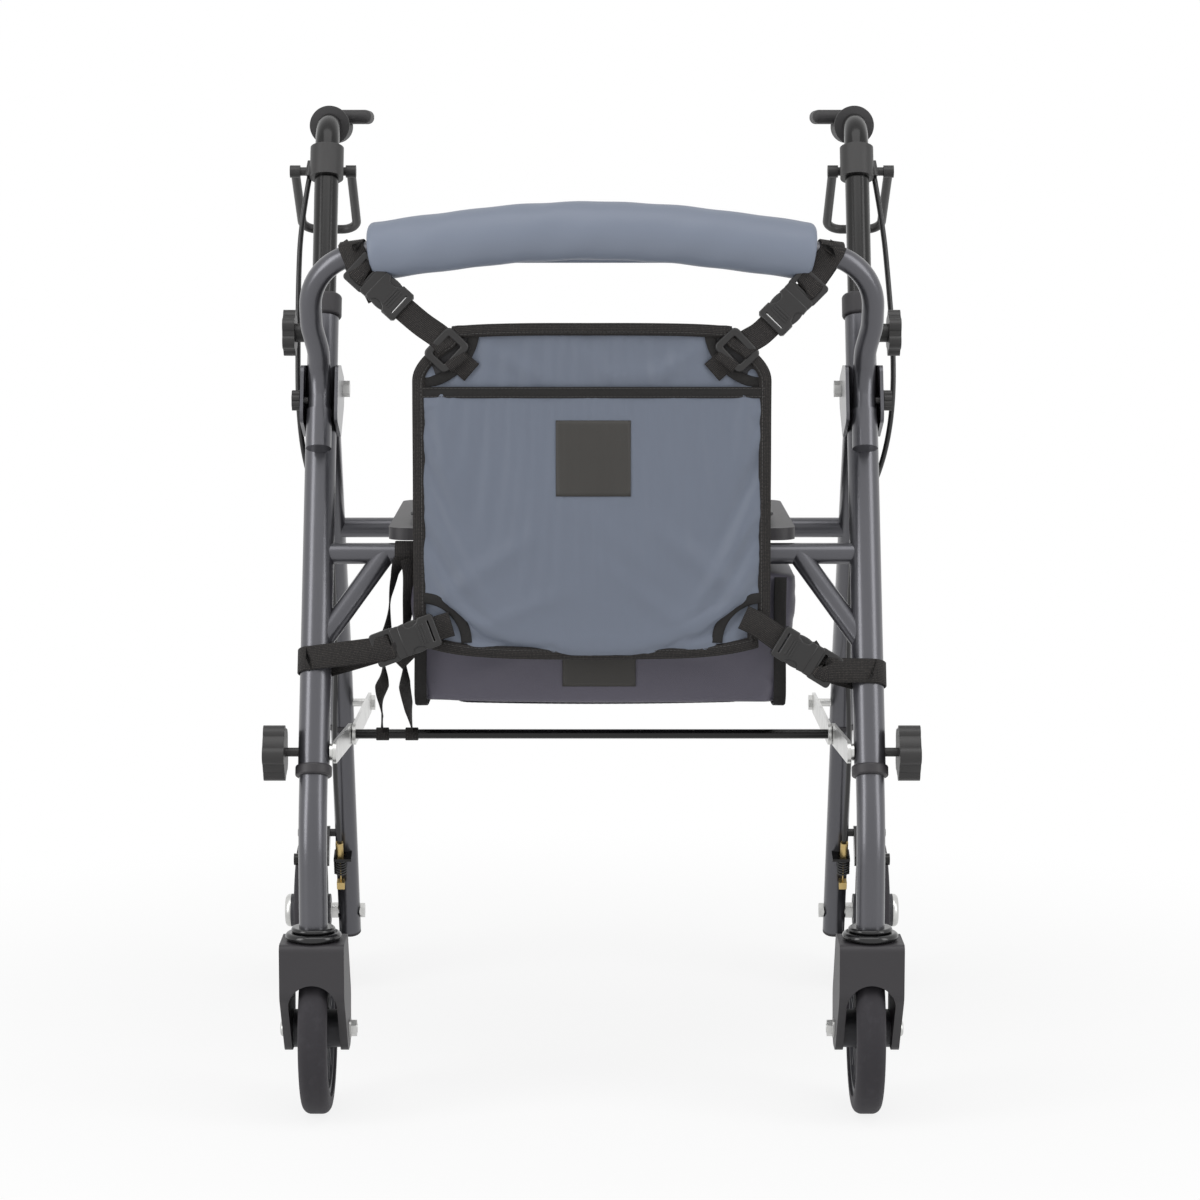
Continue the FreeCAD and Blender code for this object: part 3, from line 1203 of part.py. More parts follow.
def pull_strap():
    """Strap from the front crossbar to the fold rod, in two legs."""
    bar = on_leg(dim.front_crossbar_height, side=dim.pull_strap_start)
    pieces = [loop_round("pull_top", bar, OUT, "crossbar_diameter", "pull_strap_width")]
    below = bar + Vector(0, 3, -dim.crossbar_diameter / 2 - dim.strap_thickness / 2)
    for name, side in (("left", -1), ("right", 1)):
        foot = Vector(dim.pull_strap_middle + side * dim.pull_strap_spread / 2,
                      dim.rod_back, dim.rod_height)
        pieces.append(loop_round("pull_foot_" + name, foot, OUT, "rod_diameter",
                                 "pull_strap_width"))
        above = foot + Vector(0, -4, dim.rod_diameter / 2 + dim.strap_thickness)
        run = below - above
        face = run.cross(OUT).normalize()
        start = below + OUT * (side * 2.5)
        pieces.append(strap("pull_leg_" + name, start, above, face, "pull_strap_width"))
    keep("pull_strap", grouped("pull_strap_set", pieces))


rear_boss = 2 * (dim.rear_track / 2 - rear_leg_side - dim.rear_leg_diameter / 2 - 8)
link_plane_outer = leg_side - dim.main_tube_diameter / 2 - dim.link_thickness - 3
link_plane_inner = link_plane_outer - dim.link_thickness - 1
front_boss = dim.fork_width - 2 * dim.fork_leg - 2 * dim.air_gap

for place, side in (("right", 1), ("left", -1)):
    wheel("front_" + place, Vector(side * front_hub.x, front_hub.y, front_hub.z), front_boss)
    wheel("rear_" + place, Vector(side * rear_hub.x, rear_hub.y, rear_hub.z), rear_boss)
casters()
main_outside = front_tubes()
hoop = backrest(main_outside)
hinge_brackets()
knobs()
rear_step, rear_foot, rear_down = rear_frame()
fold_linkage()
brakes(rear_down)
seat()
handles()
cables()
tote(hoop)
under_seat_bag()
pull_strap()
doc.recompute()

for item in doc.Objects:
    if "Invalid" in item.State or "Error" in item.State:
        raise RuntimeError("%s failed: %s" % (item.Name, item.State))
for item in nodes:
    if item.Shape.isNull() or not item.Shape.isValid() or item.Shape.Volume <= 0:
        raise RuntimeError("%s has no valid shape" % item.Label)

os.makedirs("parts", exist_ok=True)
for item in nodes:
    item.Shape.exportStep("parts/%s.step" % item.Label)
print(len(nodes), "sub-parts")
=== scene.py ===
"""A front wheeled walker with a seat, seen from the front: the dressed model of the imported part."""
import math

import bmesh
import bpy
import numpy as np
from mathutils import Matrix, Vector


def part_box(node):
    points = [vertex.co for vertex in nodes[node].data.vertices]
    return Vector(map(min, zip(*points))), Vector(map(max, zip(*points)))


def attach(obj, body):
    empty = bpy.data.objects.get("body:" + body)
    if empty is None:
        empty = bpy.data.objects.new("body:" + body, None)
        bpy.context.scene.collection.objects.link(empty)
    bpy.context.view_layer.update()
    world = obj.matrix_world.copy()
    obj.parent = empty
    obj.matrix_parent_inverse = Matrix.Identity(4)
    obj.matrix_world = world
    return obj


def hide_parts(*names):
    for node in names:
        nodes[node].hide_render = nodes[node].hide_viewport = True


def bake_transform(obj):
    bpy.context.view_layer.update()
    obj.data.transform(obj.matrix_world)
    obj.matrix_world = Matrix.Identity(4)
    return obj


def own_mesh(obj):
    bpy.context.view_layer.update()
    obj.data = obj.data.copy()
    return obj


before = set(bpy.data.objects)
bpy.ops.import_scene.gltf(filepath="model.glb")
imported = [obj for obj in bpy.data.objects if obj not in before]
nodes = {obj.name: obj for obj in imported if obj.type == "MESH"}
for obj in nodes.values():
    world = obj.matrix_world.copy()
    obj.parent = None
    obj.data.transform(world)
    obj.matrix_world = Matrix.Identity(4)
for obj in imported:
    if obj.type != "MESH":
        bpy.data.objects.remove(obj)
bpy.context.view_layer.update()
mm = 0.001

# The camera stands 3.3 m in front of the walker at grip height and looks a little down.
# The walker's middle plane lies just left of the picture's middle.
camera_back = 3.320
camera_height = 0.8395
camera_pitch = 7
camera_lens = 105
middle_plane_shift = 0.0068


def linked(name, data):
    made = bpy.data.objects.new(name, data)
    bpy.context.scene.collection.objects.link(made)
    return made


camera = linked("camera", bpy.data.cameras.new("camera"))
camera.location = (0, -camera_back, camera_height)
camera.rotation_euler = (math.radians(90 - camera_pitch), 0, 0)
camera.data.lens = camera_lens
camera.data.sensor_width = 36
camera.data.shift_x = middle_plane_shift
bpy.context.scene.camera = camera
bpy.context.scene.view_settings.view_transform = "Standard"


# A white paper studio: the floor takes the shadow close to the walker and fades to white.
# Two tall soft boxes stand left and right of the camera and a wide one hangs overhead.
class Value:
    """One output of a material's node. Sums and products of values add their Math nodes."""

    def __init__(self, finish, output):
        self.finish = finish
        self.output = output

    def math(self, operation, *values):
        return self.finish.node("ShaderNodeMath", {"operation": operation}, dict(enumerate(values)))

    def __add__(self, other):
        return self.math("ADD", self, other)

    def __sub__(self, other):
        return self.math("SUBTRACT", self, other)

    def __rsub__(self, other):
        return self.math("SUBTRACT", other, self)

    def __mul__(self, other):
        return self.math("MULTIPLY", self, other)

    __radd__ = __add__
    __rmul__ = __mul__

    def wave(self):
        return self.math("SINE", self)

    def higher(self, other):
        return self.math("MAXIMUM", self, other)

    def rise(self, low, high):
        """Goes smoothly from 0 to 1 as this value goes from low to high."""
        return self.finish.node("ShaderNodeMapRange", {"interpolation_type": "SMOOTHSTEP"},
                                {0: self, 1: low, 2: high, 3: 0.0, 4: 1.0})

    def mix(self, first, second):
        return self.finish.node("ShaderNodeMix", {"data_type": "RGBA"},
                                {0: self, 6: first, 7: second}, 2)

    def parts(self):
        return [self.finish.node("ShaderNodeSeparateXYZ", {}, {0: self}, axis) for axis in range(3)]


class Finish:
    """A material in the making."""

    def __init__(self, name):
        self.material = bpy.data.materials.new(name)
        self.material.use_nodes = True
        self.tree = self.material.node_tree
        self.tree.nodes.clear()
        self.end = self.tree.nodes.new("ShaderNodeOutputMaterial")

    def node(self, kind, settings=None, values=None, out=0):
        made = self.tree.nodes.new(kind)
        for setting, value in (settings or {}).items():
            setattr(made, setting, value)
        for socket, value in (values or {}).items():
            if isinstance(value, Value):
                self.tree.links.new(made.inputs[socket], value.output)
            else:
                made.inputs[socket].default_value = value
        return Value(self, made.outputs[out])

    def place(self):
        return self.node("ShaderNodeTexCoord", {}, {}, 3)

    def own_map(self, name):
        return self.node("ShaderNodeUVMap", {"uv_map": name})

    def noise(self, scale, detail=2.0, roughness=0.5, stretch=None):
        place = self.place()
        if stretch:
            place = self.node("ShaderNodeMapping", {}, {0: place, 3: stretch})
        return self.node("ShaderNodeTexNoise", {}, {
            "Vector": place, "Scale": scale, "Detail": detail, "Roughness": roughness})

    def cells(self, scale):
        return self.node("ShaderNodeTexVoronoi", {}, {"Vector": self.place(), "Scale": scale})

    def bump(self, height, depth, strength=1.0):
        return self.node("ShaderNodeBump", {}, {
            "Height": height, "Distance": depth, "Strength": strength})

    def seen_directly(self):
        """1 for what the camera sees, also by mirrored or passing rays, and 0 for other light."""
        seen = self.node("ShaderNodeLightPath", {}, {}, 0)
        for kind in (3, 6):
            seen = seen.higher(self.node("ShaderNodeLightPath", {}, {}, kind))
        return seen

    def done(self, shader):
        self.tree.links.new(self.end.inputs[0], shader.output)
        return self.material

    def surface(self, values):
        return self.done(self.node("ShaderNodeBsdfPrincipled", {}, values))


def shade(red, green, blue):
    """A colour named by its screen values, as the renderer wants it."""
    return tuple((part / 255 / 12.92) if part <= 10 else ((part / 255 + 0.055) / 1.055) ** 2.4
                 for part in (red, green, blue)) + (1.0,)


def paper():
    finish = Finish("white_paper")
    seen = finish.seen_directly()
    x, y, _ = finish.place().parts()
    away = (x * x + y * y).math("SQRT", x * x + y * y)
    fade = away.rise(0.35, 1.15)
    lit = finish.node("ShaderNodeBsdfDiffuse", {}, {"Color": shade(255, 255, 255)})
    white = finish.node("ShaderNodeEmission", {}, {"Color": (1, 1, 1, 1), "Strength": 1.0})
    grain = finish.noise(900, 2)
    lit.finish.tree.links.new(lit.output.node.inputs["Normal"],
                              finish.bump(grain, 0.0001, 0.1).output)
    shadow_share = 0.16
    whiteness = (fade * shadow_share + (1 - shadow_share)) * seen
    return finish.done(finish.node("ShaderNodeMixShader", {}, {0: whiteness, 1: lit, 2: white}))


floor_mesh = bpy.data.meshes.new("floor")
reach = 30
floor_mesh.from_pydata([(-reach, -reach, 0), (reach, -reach, 0), (reach, reach, 0), (-reach, reach, 0)],
                       [], [(0, 1, 2, 3)])
floor = linked("floor", floor_mesh)
floor.data.materials.append(paper())


def soft_box(name, place, target, width, height, power):
    lamp = linked(name, bpy.data.lights.new(name, "AREA"))
    lamp.data.shape = "RECTANGLE"
    lamp.data.size = width
    lamp.data.size_y = height
    lamp.data.energy = power
    lamp.location = place
    lamp.rotation_euler = (Vector(target) - Vector(place)).to_track_quat("-Z", "Y").to_euler()


soft_box("left_box", (-2.1, -1.5, 1.2), (0, 0, 0.5), 0.9, 2.2, 26)
soft_box("right_box", (2.1, -1.3, 1.2), (0, 0, 0.5), 0.9, 2.2, 20)
soft_box("top_box", (0, -1.0, 2.7), (0, 0, 0.5), 2.6, 1.6, 22)
world = bpy.data.worlds.new("studio")
bpy.context.scene.world = world
world.use_nodes = True
world.node_tree.nodes.clear()
sky = Finish.__new__(Finish)
sky.tree = world.node_tree
sky.end = world.node_tree.nodes.new("ShaderNodeOutputWorld")
seen = sky.seen_directly()
ambient = 0.33
background = sky.node("ShaderNodeBackground", {}, {
    0: (1, 1, 1, 1), 1: seen * (1 - ambient) + ambient})
world.node_tree.links.new(sky.end.inputs[0], background.output)


# Steel tubes of the frame, bent and welded, then painted in a fine metallic gunmetal grey.
# The hoop's sockets and the hinge brackets are painted with them.
def painted_steel(name, colour, roughness):
    finish = Finish(name)
    flakes = finish.cells(2600)
    cloud = finish.noise(14, 3)
    speck = flakes.rise(0.0, 0.5)
    dark = tuple(part * 0.82 for part in colour[:3]) + (1,)
    tone = (cloud * 0.4 + speck * 0.6).mix(dark, colour)
    peel = finish.noise(420, 2)
    return finish.surface({
        "Base Color": tone, "Metallic": 0.62, "Coat Weight": 0.35, "Coat Roughness": 0.22,
        "Roughness": roughness + (cloud - 0.5) * 0.08,
        "Normal": finish.bump(peel, 0.00006, 0.5),
    })


def give(finish, *names):
    for name in names:
        nodes[name].data.materials.clear()
        nodes[name].data.materials.append(finish)


gunmetal = painted_steel("gunmetal_paint", shade(88, 88, 93), 0.3)
give(gunmetal, "main_tubes", "front_lower_legs", "front_crossbar", "backrest_hoop", "hinge_brackets",
     "backrest_sockets", "rear_upper_tubes", "rear_lower_legs", "rear_crossbar")


# Handle tubes: drawn steel tube in gloss black, which slides in the front tubes.
gloss_black = painted_steel("gloss_black_paint", shade(14, 13, 13), 0.2)
give(gloss_black, "handle_tube_left", "handle_tube_right", "fold_rod", "brake_brackets",
     "brake_arm_left", "brake_arm_right")


# Moulded parts: forks, collars, knobs and brake housings in charcoal nylon with a fine spark-eroded
# grain. The caster's bearing rings are the same nylon with a polished face.
def moulded(name, colour, roughness, grain_depth=0.00008):
    finish = Finish(name)
    grain = finish.noise(1500, 2, 0.6)
    cloud = finish.noise(22, 3)
    worn = tuple(min(1, part * 1.35 + 0.004) for part in colour[:3]) + (1,)
    return finish.surface({
        "Base Color": (cloud * 0.5 + grain * 0.3).mix(colour, worn),
        "Roughness": roughness + (grain - 0.5) * 0.16,
        "Normal": finish.bump(grain, grain_depth, 0.6),
    })


charcoal = moulded("charcoal_nylon", shade(42, 40, 43), 0.5)
give(charcoal, "caster_fork_left", "caster_fork_right", "front_leg_collars", "handle_collars",
     "rear_leg_trim", "seat_pan")
black_nylon = moulded("black_nylon", shade(34, 33, 33), 0.42)
give(black_nylon, "leg_knob_left", "leg_knob_right", "handle_knob_left", "handle_knob_right",
     "backrest_knob_left", "backrest_knob_right", "brake_housing_left", "brake_housing_right",
     "brake_lever_left", "brake_lever_right", "grip_left", "grip_right")
polished_nylon = moulded("polished_nylon", shade(22, 22, 23), 0.16, 0.00001)
give(polished_nylon, "caster_bearings")


# Bolts, axles, link plates and studs: bright zinc plate with a faint brushed run.
# The cable clamps are plain brass, dulled by handling.
def plated(name, colour, roughness):
    finish = Finish(name)
    brushed = finish.noise(700, 3, 0.6, stretch=(1, 1, 0.05))
    stain = finish.noise(60, 3)
    dull = tuple(part * 0.72 for part in colour[:3]) + (1,)
    return finish.surface({
        "Base Color": (stain.rise(0.45, 0.75) * 0.7).mix(colour, dull), "Metallic": 1.0,
        "Roughness": roughness + brushed * 0.14 + stain * 0.08,
        "Normal": finish.bump(brushed, 0.00002, 0.5),
    })


zinc = plated("bright_zinc", shade(205, 205, 203), 0.2)
give(zinc, "frame_bolts", "rear_bolts", "front_fold_links", "rear_fold_links", "caster_axle_left",
     "caster_axle_right")
brass = plated("dull_brass", shade(196, 172, 118), 0.3)
give(brass, "cable_clamps")
spring_steel = plated("blackened_spring", shade(70, 70, 70), 0.28)
give(spring_steel, "brake_springs")


# Wheels: a solid soft tyre pressed on a moulded disc hub. The tread is scuffed matt, the hub has
# thin ribs from boss to rim on both faces, made one after another round the axle.
def scuffed_rubber(name, colour):
    finish = Finish(name)
    scuff = finish.noise(90, 4, 0.65)
    dust = finish.noise(9, 2)
    grain = finish.noise(1300, 2)
    pale = tuple(part * 1.5 + 0.01 for part in colour[:3]) + (1,)
    return finish.surface({
        "Base Color": (scuff.rise(0.45, 0.8) * 0.6 + dust * 0.2).mix(colour, pale),
        "Roughness": 0.6 + scuff * 0.25, "Specular IOR Level": 0.35,
        "Normal": finish.bump(grain + scuff * 2, 0.00012, 0.5),
    })


tyre_rubber = scuffed_rubber("scuffed_tyre", shade(46, 44, 48))
hub_nylon = moulded("hub_nylon", shade(62, 62, 66), 0.5)
corners = ("front_left", "front_right", "rear_left", "rear_right")
give(tyre_rubber, *("tyre_" + corner for corner in corners))
give(hub_nylon, *("hub_" + corner for corner in corners))


def new_tree(name, inputs):
    tree = bpy.data.node_groups.new(name, "GeometryNodeTree")
    tree.interface.new_socket("Geometry", in_out="INPUT", socket_type="NodeSocketGeometry")
    for label, value in inputs:
        kind = "NodeSocketInt" if isinstance(value, int) else "NodeSocketFloat"
        tree.interface.new_socket(label, in_out="INPUT", socket_type=kind).default_value = value
    tree.interface.new_socket("Material", in_out="INPUT", socket_type="NodeSocketMaterial")
    tree.interface.new_socket("Geometry", in_out="OUTPUT", socket_type="NodeSocketGeometry")
    return tree, tree.nodes.new("NodeGroupInput"), tree.nodes.new("NodeGroupOutput")


def add(tree, kind, settings=None, values=None):
    made = tree.nodes.new(kind)
    for setting, value in (settings or {}).items():
        setattr(made, setting, value)
    for socket, value in (values or {}).items():
        if isinstance(value, bpy.types.NodeSocket):
            tree.links.new(value, made.inputs[socket])
        else:
            made.inputs[socket].default_value = value
    return made


def finish_tree(tree, start, end, instances):
    real = add(tree, "GeometryNodeRealizeInstances", {}, {"Geometry": instances})
    painted = add(tree, "GeometryNodeSetMaterial", {},
                  {"Geometry": real.outputs[0], "Material": start.outputs["Material"]})
    tree.links.new(painted.outputs[0], end.inputs[0])


def baked(maker):
    """The plain mesh that an object's modifiers or curves make. The object is removed."""
    seen_by = bpy.context.evaluated_depsgraph_get()
    mesh = bpy.data.meshes.new_from_object(maker.evaluated_get(seen_by))
    bpy.data.objects.remove(maker)
    return mesh


def grown(name, host, tree, values, finish):
    """The plain mesh that a tree of Geometry Nodes makes on a host mesh."""
    maker = linked(name + "_maker", host)
    grow = maker.modifiers.new("grow", "NODES")
    grow.node_group = tree
    for item in tree.interface.items_tree:
        if item.in_out == "INPUT" and item.name in values:
            grow[item.identifier] = values[item.name]
        if item.in_out == "INPUT" and item.name == "Material":
            grow[item.identifier] = finish
    bpy.context.view_layer.update()
    mesh = baked(maker)
    mesh.name = name
    return mesh


def place(name, mesh, body, slot=None, finish=None):
    """Puts a finished mesh in the scene as one piece of the walker."""
    made = linked(name, mesh)
    if finish:
        mesh.materials.clear()
        mesh.materials.append(finish)
    if body:
        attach(made, body)
    return made


def rib_tree():
    tree, start, end = new_tree("hub_ribs", (
        ("Count", 10), ("Inside", 0.019), ("Outside", 0.051), ("Depth", 0.006), ("Wall", 0.0022)))
    source = start.outputs
    middle = add(tree, "ShaderNodeMath", {"operation": "ADD"}, {0: source["Inside"], 1: source["Outside"]})
    span = add(tree, "ShaderNodeMath", {"operation": "SUBTRACT"},
               {0: source["Outside"], 1: source["Inside"]})
    half = add(tree, "ShaderNodeMath", {"operation": "MULTIPLY"}, {0: middle.outputs[0], 1: 0.5})
    size = add(tree, "ShaderNodeCombineXYZ", {},
               {0: source["Depth"], 1: source["Wall"], 2: span.outputs[0]})
    rib = add(tree, "GeometryNodeMeshCube", {}, {"Size": size.outputs[0]})
    out = add(tree, "ShaderNodeCombineXYZ", {}, {2: half.outputs[0]})
    moved = add(tree, "GeometryNodeTransform", {}, {"Geometry": rib.outputs[0],
                                                    "Translation": out.outputs[0]})
    circle = add(tree, "GeometryNodeMeshLine", {"mode": "OFFSET"}, {
        "Count": source["Count"], "Start Location": (0, 0, 0), "Offset": (0, 0, 0)})
    number = add(tree, "GeometryNodeInputIndex")
    turn = add(tree, "ShaderNodeMath", {"operation": "DIVIDE"}, {0: math.tau, 1: source["Count"]})
    angle = add(tree, "ShaderNodeMath", {"operation": "MULTIPLY"},
                {0: number.outputs[0], 1: turn.outputs[0]})
    round_axle = add(tree, "ShaderNodeCombineXYZ", {}, {0: angle.outputs[0]})
    many = add(tree, "GeometryNodeInstanceOnPoints", {}, {
        "Points": circle.outputs[0], "Instance": moved.outputs[0]})
    turned = add(tree, "FunctionNodeEulerToRotation", {}, {0: round_axle.outputs[0]})
    tree.links.new(turned.outputs[0], many.inputs["Rotation"])
    finish_tree(tree, start, end, many.outputs[0])
    return tree


ribs = rib_tree()
point_host = bpy.data.meshes.new("point_host")
point_host.from_pydata([(0, 0, 0)], [], [])
rib_count = 15
for corner in corners:
    low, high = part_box("hub_" + corner)
    centre = (low + high) / 2
    body = corner.split("_")[0] + "_wheel_" + corner.split("_")[1]
    for face, side in (("inner", -1), ("outer", 1)):
        mesh = grown("hub_ribs_%s_%s" % (corner, face), point_host, ribs,
                     {"Count": rib_count, "Depth": 0.0055}, hub_nylon)
        mesh.transform(Matrix.Translation(centre + Vector((side * 0.0065, 0, 0))))
        place(mesh.name, mesh, body, "hub_plastic")


# Hand grips: soft moulded sleeves with a thumb flange and a palm wing. Thin raised rings run
# round the barrel between flange and wing, spaced one after another along the handle.
def ring_tree():
    tree, start, end = new_tree("grip_rings", (
        ("Count", 9), ("Pitch", 0.006), ("Radius", 0.016), ("Wire", 0.0008)))
    source = start.outputs
    step = add(tree, "ShaderNodeCombineXYZ", {}, {1: source["Pitch"]})
    line = add(tree, "GeometryNodeMeshLine", {"mode": "OFFSET"}, {
        "Count": source["Count"], "Start Location": (0, 0, 0), "Offset": step.outputs[0]})
    round_grip = add(tree, "GeometryNodeCurvePrimitiveCircle", {}, {
        "Resolution": 40, "Radius": source["Radius"]})
    section = add(tree, "GeometryNodeCurvePrimitiveCircle", {}, {
        "Resolution": 6, "Radius": source["Wire"]})
    band = add(tree, "GeometryNodeCurveToMesh", {}, {0: round_grip.outputs[0], 1: section.outputs[0]})
    upright = add(tree, "GeometryNodeTransform", {}, {
        "Geometry": band.outputs[0], "Rotation": (math.radians(90), 0, 0)})
    many = add(tree, "GeometryNodeInstanceOnPoints", {}, {
        "Points": line.outputs[0], "Instance": upright.outputs[0]})
    finish_tree(tree, start, end, many.outputs[0])
    return tree


rings = ring_tree()
sides = (("left", -1), ("right", 1))
leg_across = 245.5 * mm
grip_height = 881 * mm
first_ring = 8 * mm
grip_rubber = moulded("grip_rubber", shade(46, 45, 46), 0.62, 0.00012)
for side, sign in sides:
    give(grip_rubber, "grip_" + side)
    grip_axis = Vector((sign * leg_across, first_ring, grip_height))
    mesh = grown("grip_rings_" + side, point_host, rings,
                 {"Count": 4, "Pitch": 5 * mm, "Radius": 15.4 * mm, "Wire": 0.9 * mm}, grip_rubber)
    mesh.transform(Matrix.Translation(grip_axis))
    place(mesh.name, mesh, "handle_" + side, "black_plastic")


# Backrest: a foam sleeve pushed over the hoop and skinned in smooth blue-grey vinyl. Its ends are
# cut square with a slightly rolled edge, and the skin has shallow dents along its length.
hoop_half = 251 * mm
hoop_corner = Vector((0, -207 * mm, 760 * mm))
hoop_bow = 40 * mm
hoop_arch = 35 * mm
arch_radius = 560 * mm
arch_rise = math.hypot(hoop_bow, hoop_arch)
arch_slope = math.atan(arch_rise / hoop_half)


def hoop_axis(across):
    """A point on the hoop's axis, that far from the middle plane, and the tube's heading."""
    touch = arch_radius * math.sin(arch_slope)
    if abs(across) < touch:
        angle = math.asin(across / arch_radius)
        height = (arch_rise * (1 - touch / hoop_half)
                  + arch_radius * (math.cos(angle) - math.cos(arch_slope)))
    else:
        angle = math.copysign(arch_slope, across)
        height = arch_rise * (1 - abs(across) / hoop_half)
    rise = Vector((0, -hoop_bow, hoop_arch)) / arch_rise
    heading = Vector((math.cos(angle), 0, 0)) - rise * math.sin(angle)
    return hoop_corner + Vector((across, 0, 0)) + rise * height, heading


def skin(name, rows, closed_rows=True, closed_columns=True):
    """A mesh from rows of points, with its faces outward; each row goes round the piece."""
    count, around = len(rows), len(rows[0])
    faces = []
    for row in range(count if closed_rows else count - 1):
        for column in range(around if closed_columns else around - 1):
            below = (row + 1) % count
            beside = (column + 1) % around
            faces.append((row * around + column, row * around + beside,
                          below * around + beside, below * around + column))
    mesh = bpy.data.meshes.new(name)
    mesh.from_pydata([point for row in rows for point in row], [], faces)
    outward(mesh)
    mesh.polygons.foreach_set("use_smooth", [True] * len(mesh.polygons))
    return mesh


def outward(mesh, fill=False):
    """Turns a mesh's faces outward, after its open ends are filled if fill is set."""
    shell = bmesh.new()
    shell.from_mesh(mesh)
    if fill:
        bmesh.ops.holes_fill(shell, edges=shell.edges)
    bmesh.ops.recalc_face_normals(shell, faces=shell.faces)
    shell.to_mesh(mesh)
    shell.free()


def vinyl(name, colour):
    finish = Finish(name)
    grain = finish.cells(900)
    cloud = finish.noise(11, 3)
    fine = finish.noise(700, 2)
    paler = tuple(min(1, part * 1.12) for part in colour[:3]) + (1,)
    return finish.surface({
        "Base Color": (cloud * 0.6 + fine * 0.2).mix(colour, paler),
        "Roughness": 0.46 + (cloud - 0.5) * 0.12, "Specular IOR Level": 0.4,
        "Normal": finish.bump(grain * -0.5 + fine * 0.4, 0.00018, 0.35),
    })


pad_vinyl = vinyl("pad_vinyl", shade(122, 130, 145))
pad_half = 193.5 * mm
pad_radius = 25.6 * mm
pad_rows = []
pad_steps = 120
roll = 5 * mm
ends = []
for degrees in range(0, 91, 15):
    turned = math.radians(degrees)
    ends.append((pad_half - roll + roll * math.cos(turned),
                 pad_radius - roll + roll * math.sin(turned)))
profile = [(-pad_half + 3 * mm, 10.2 * mm), (-pad_half, 12 * mm)]
profile += [(-across, radius) for across, radius in ends]
profile += [(-pad_half + roll + (2 * (pad_half - roll)) * step / pad_steps, pad_radius)
            for step in range(1, pad_steps)]
profile += list(reversed(ends)) + [(pad_half, 12 * mm), (pad_half - 3 * mm, 10.2 * mm)]
around = 56
for across, radius in profile:
    point, heading = hoop_axis(across)
    upward = Vector((0, -hoop_bow, hoop_arch)).normalized()
    upward = (upward - heading * upward.dot(heading)).normalized()
    beside = heading.cross(upward)
    row = []
    for step in range(around):
        angle = math.tau * step / around
        dent = 0.0
        if radius > 0.9 * pad_radius:
            dent = (0.35 * math.sin(across * 61 + 2 * math.sin(angle)) * math.sin(angle * 2 + across * 23)
                    + 0.25 * math.sin(across * 137 + angle * 3)) * mm
            dent -= 0.8 * mm * math.exp(-((angle - math.pi * 0.72) / 0.05) ** 2)
        row.append(point + (upward * math.cos(angle) + beside * math.sin(angle)) * (radius + dent))
    pad_rows.append(row)
backrest_pad = place("backrest_foam_pad", skin("backrest_foam_pad", pad_rows), "front_frame",
                     "foam_vinyl", pad_vinyl)
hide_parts("backrest_pad")


# Seat: a moulded pan with a padded cushion on it, a foam slab in black vinyl with a piped edge
# and two sewn channels. The foam swells between its seams, so the cushion is inflated as cloth.
def settled(name, mesh, held, frames=20, cap=0.012, pressure=0.0, weight=0.0, shrink=0.0,
            stiffness=15.0, bending=0.5):
    """The mesh after its cloth has settled. No point moves further than cap."""
    piece = linked(name + "_cloth", mesh)
    fixed = piece.vertex_groups.new(name="held")
    fixed.add(held, 1.0, "REPLACE")
    cloth = piece.modifiers.new("cloth", "CLOTH")
    cloth.settings.quality = 5
    cloth.settings.mass = 0.15
    cloth.settings.tension_stiffness = stiffness
    cloth.settings.compression_stiffness = stiffness
    cloth.settings.shear_stiffness = stiffness * 0.4
    cloth.settings.bending_stiffness = bending
    cloth.settings.shrink_min = shrink
    cloth.settings.use_pressure = pressure > 0
    cloth.settings.uniform_pressure_force = pressure
    cloth.settings.vertex_group_mass = "held"
    cloth.settings.effector_weights.gravity = weight
    cloth.collision_settings.use_collision = False
    cloth.point_cache.frame_start = 1
    cloth.point_cache.frame_end = frames
    for frame_number in range(1, frames + 1):
        bpy.context.scene.frame_set(frame_number)
    seen_by = bpy.context.evaluated_depsgraph_get()
    soft = piece.evaluated_get(seen_by).to_mesh()
    moved = np.zeros(len(mesh.vertices) * 3)
    soft.vertices.foreach_get("co", moved)
    rest = np.zeros(len(mesh.vertices) * 3)
    mesh.vertices.foreach_get("co", rest)
    shift = (moved - rest).reshape(-1, 3)
    length = np.linalg.norm(shift, axis=1)[:, None]
    shift *= np.minimum(1, cap / np.maximum(length, 1e-9))
    piece.evaluated_get(seen_by).to_mesh_clear()
    piece.modifiers.clear()
    mesh.vertices.foreach_set("co", rest + shift.ravel())
    mesh.update()
    bpy.data.objects.remove(piece)
    bpy.context.scene.frame_set(1)
    return mesh


def solid_block(low, high, rounding, voxel):
    """A rounded slab of even quads."""
    shell = bmesh.new()
    bmesh.ops.create_cube(shell, size=1.0)
    bmesh.ops.scale(shell, vec=high - low, verts=shell.verts)
    bmesh.ops.translate(shell, vec=(high + low) / 2, verts=shell.verts)
    bmesh.ops.bevel(shell, geom=shell.edges, offset=rounding, segments=4, affect="EDGES")
    mesh = bpy.data.meshes.new("slab")
    shell.to_mesh(mesh)
    shell.free()
    maker = linked("slab", mesh)
    even = maker.modifiers.new("even", "REMESH")
    even.mode = "VOXEL"
    even.voxel_size = voxel
    return baked(maker)


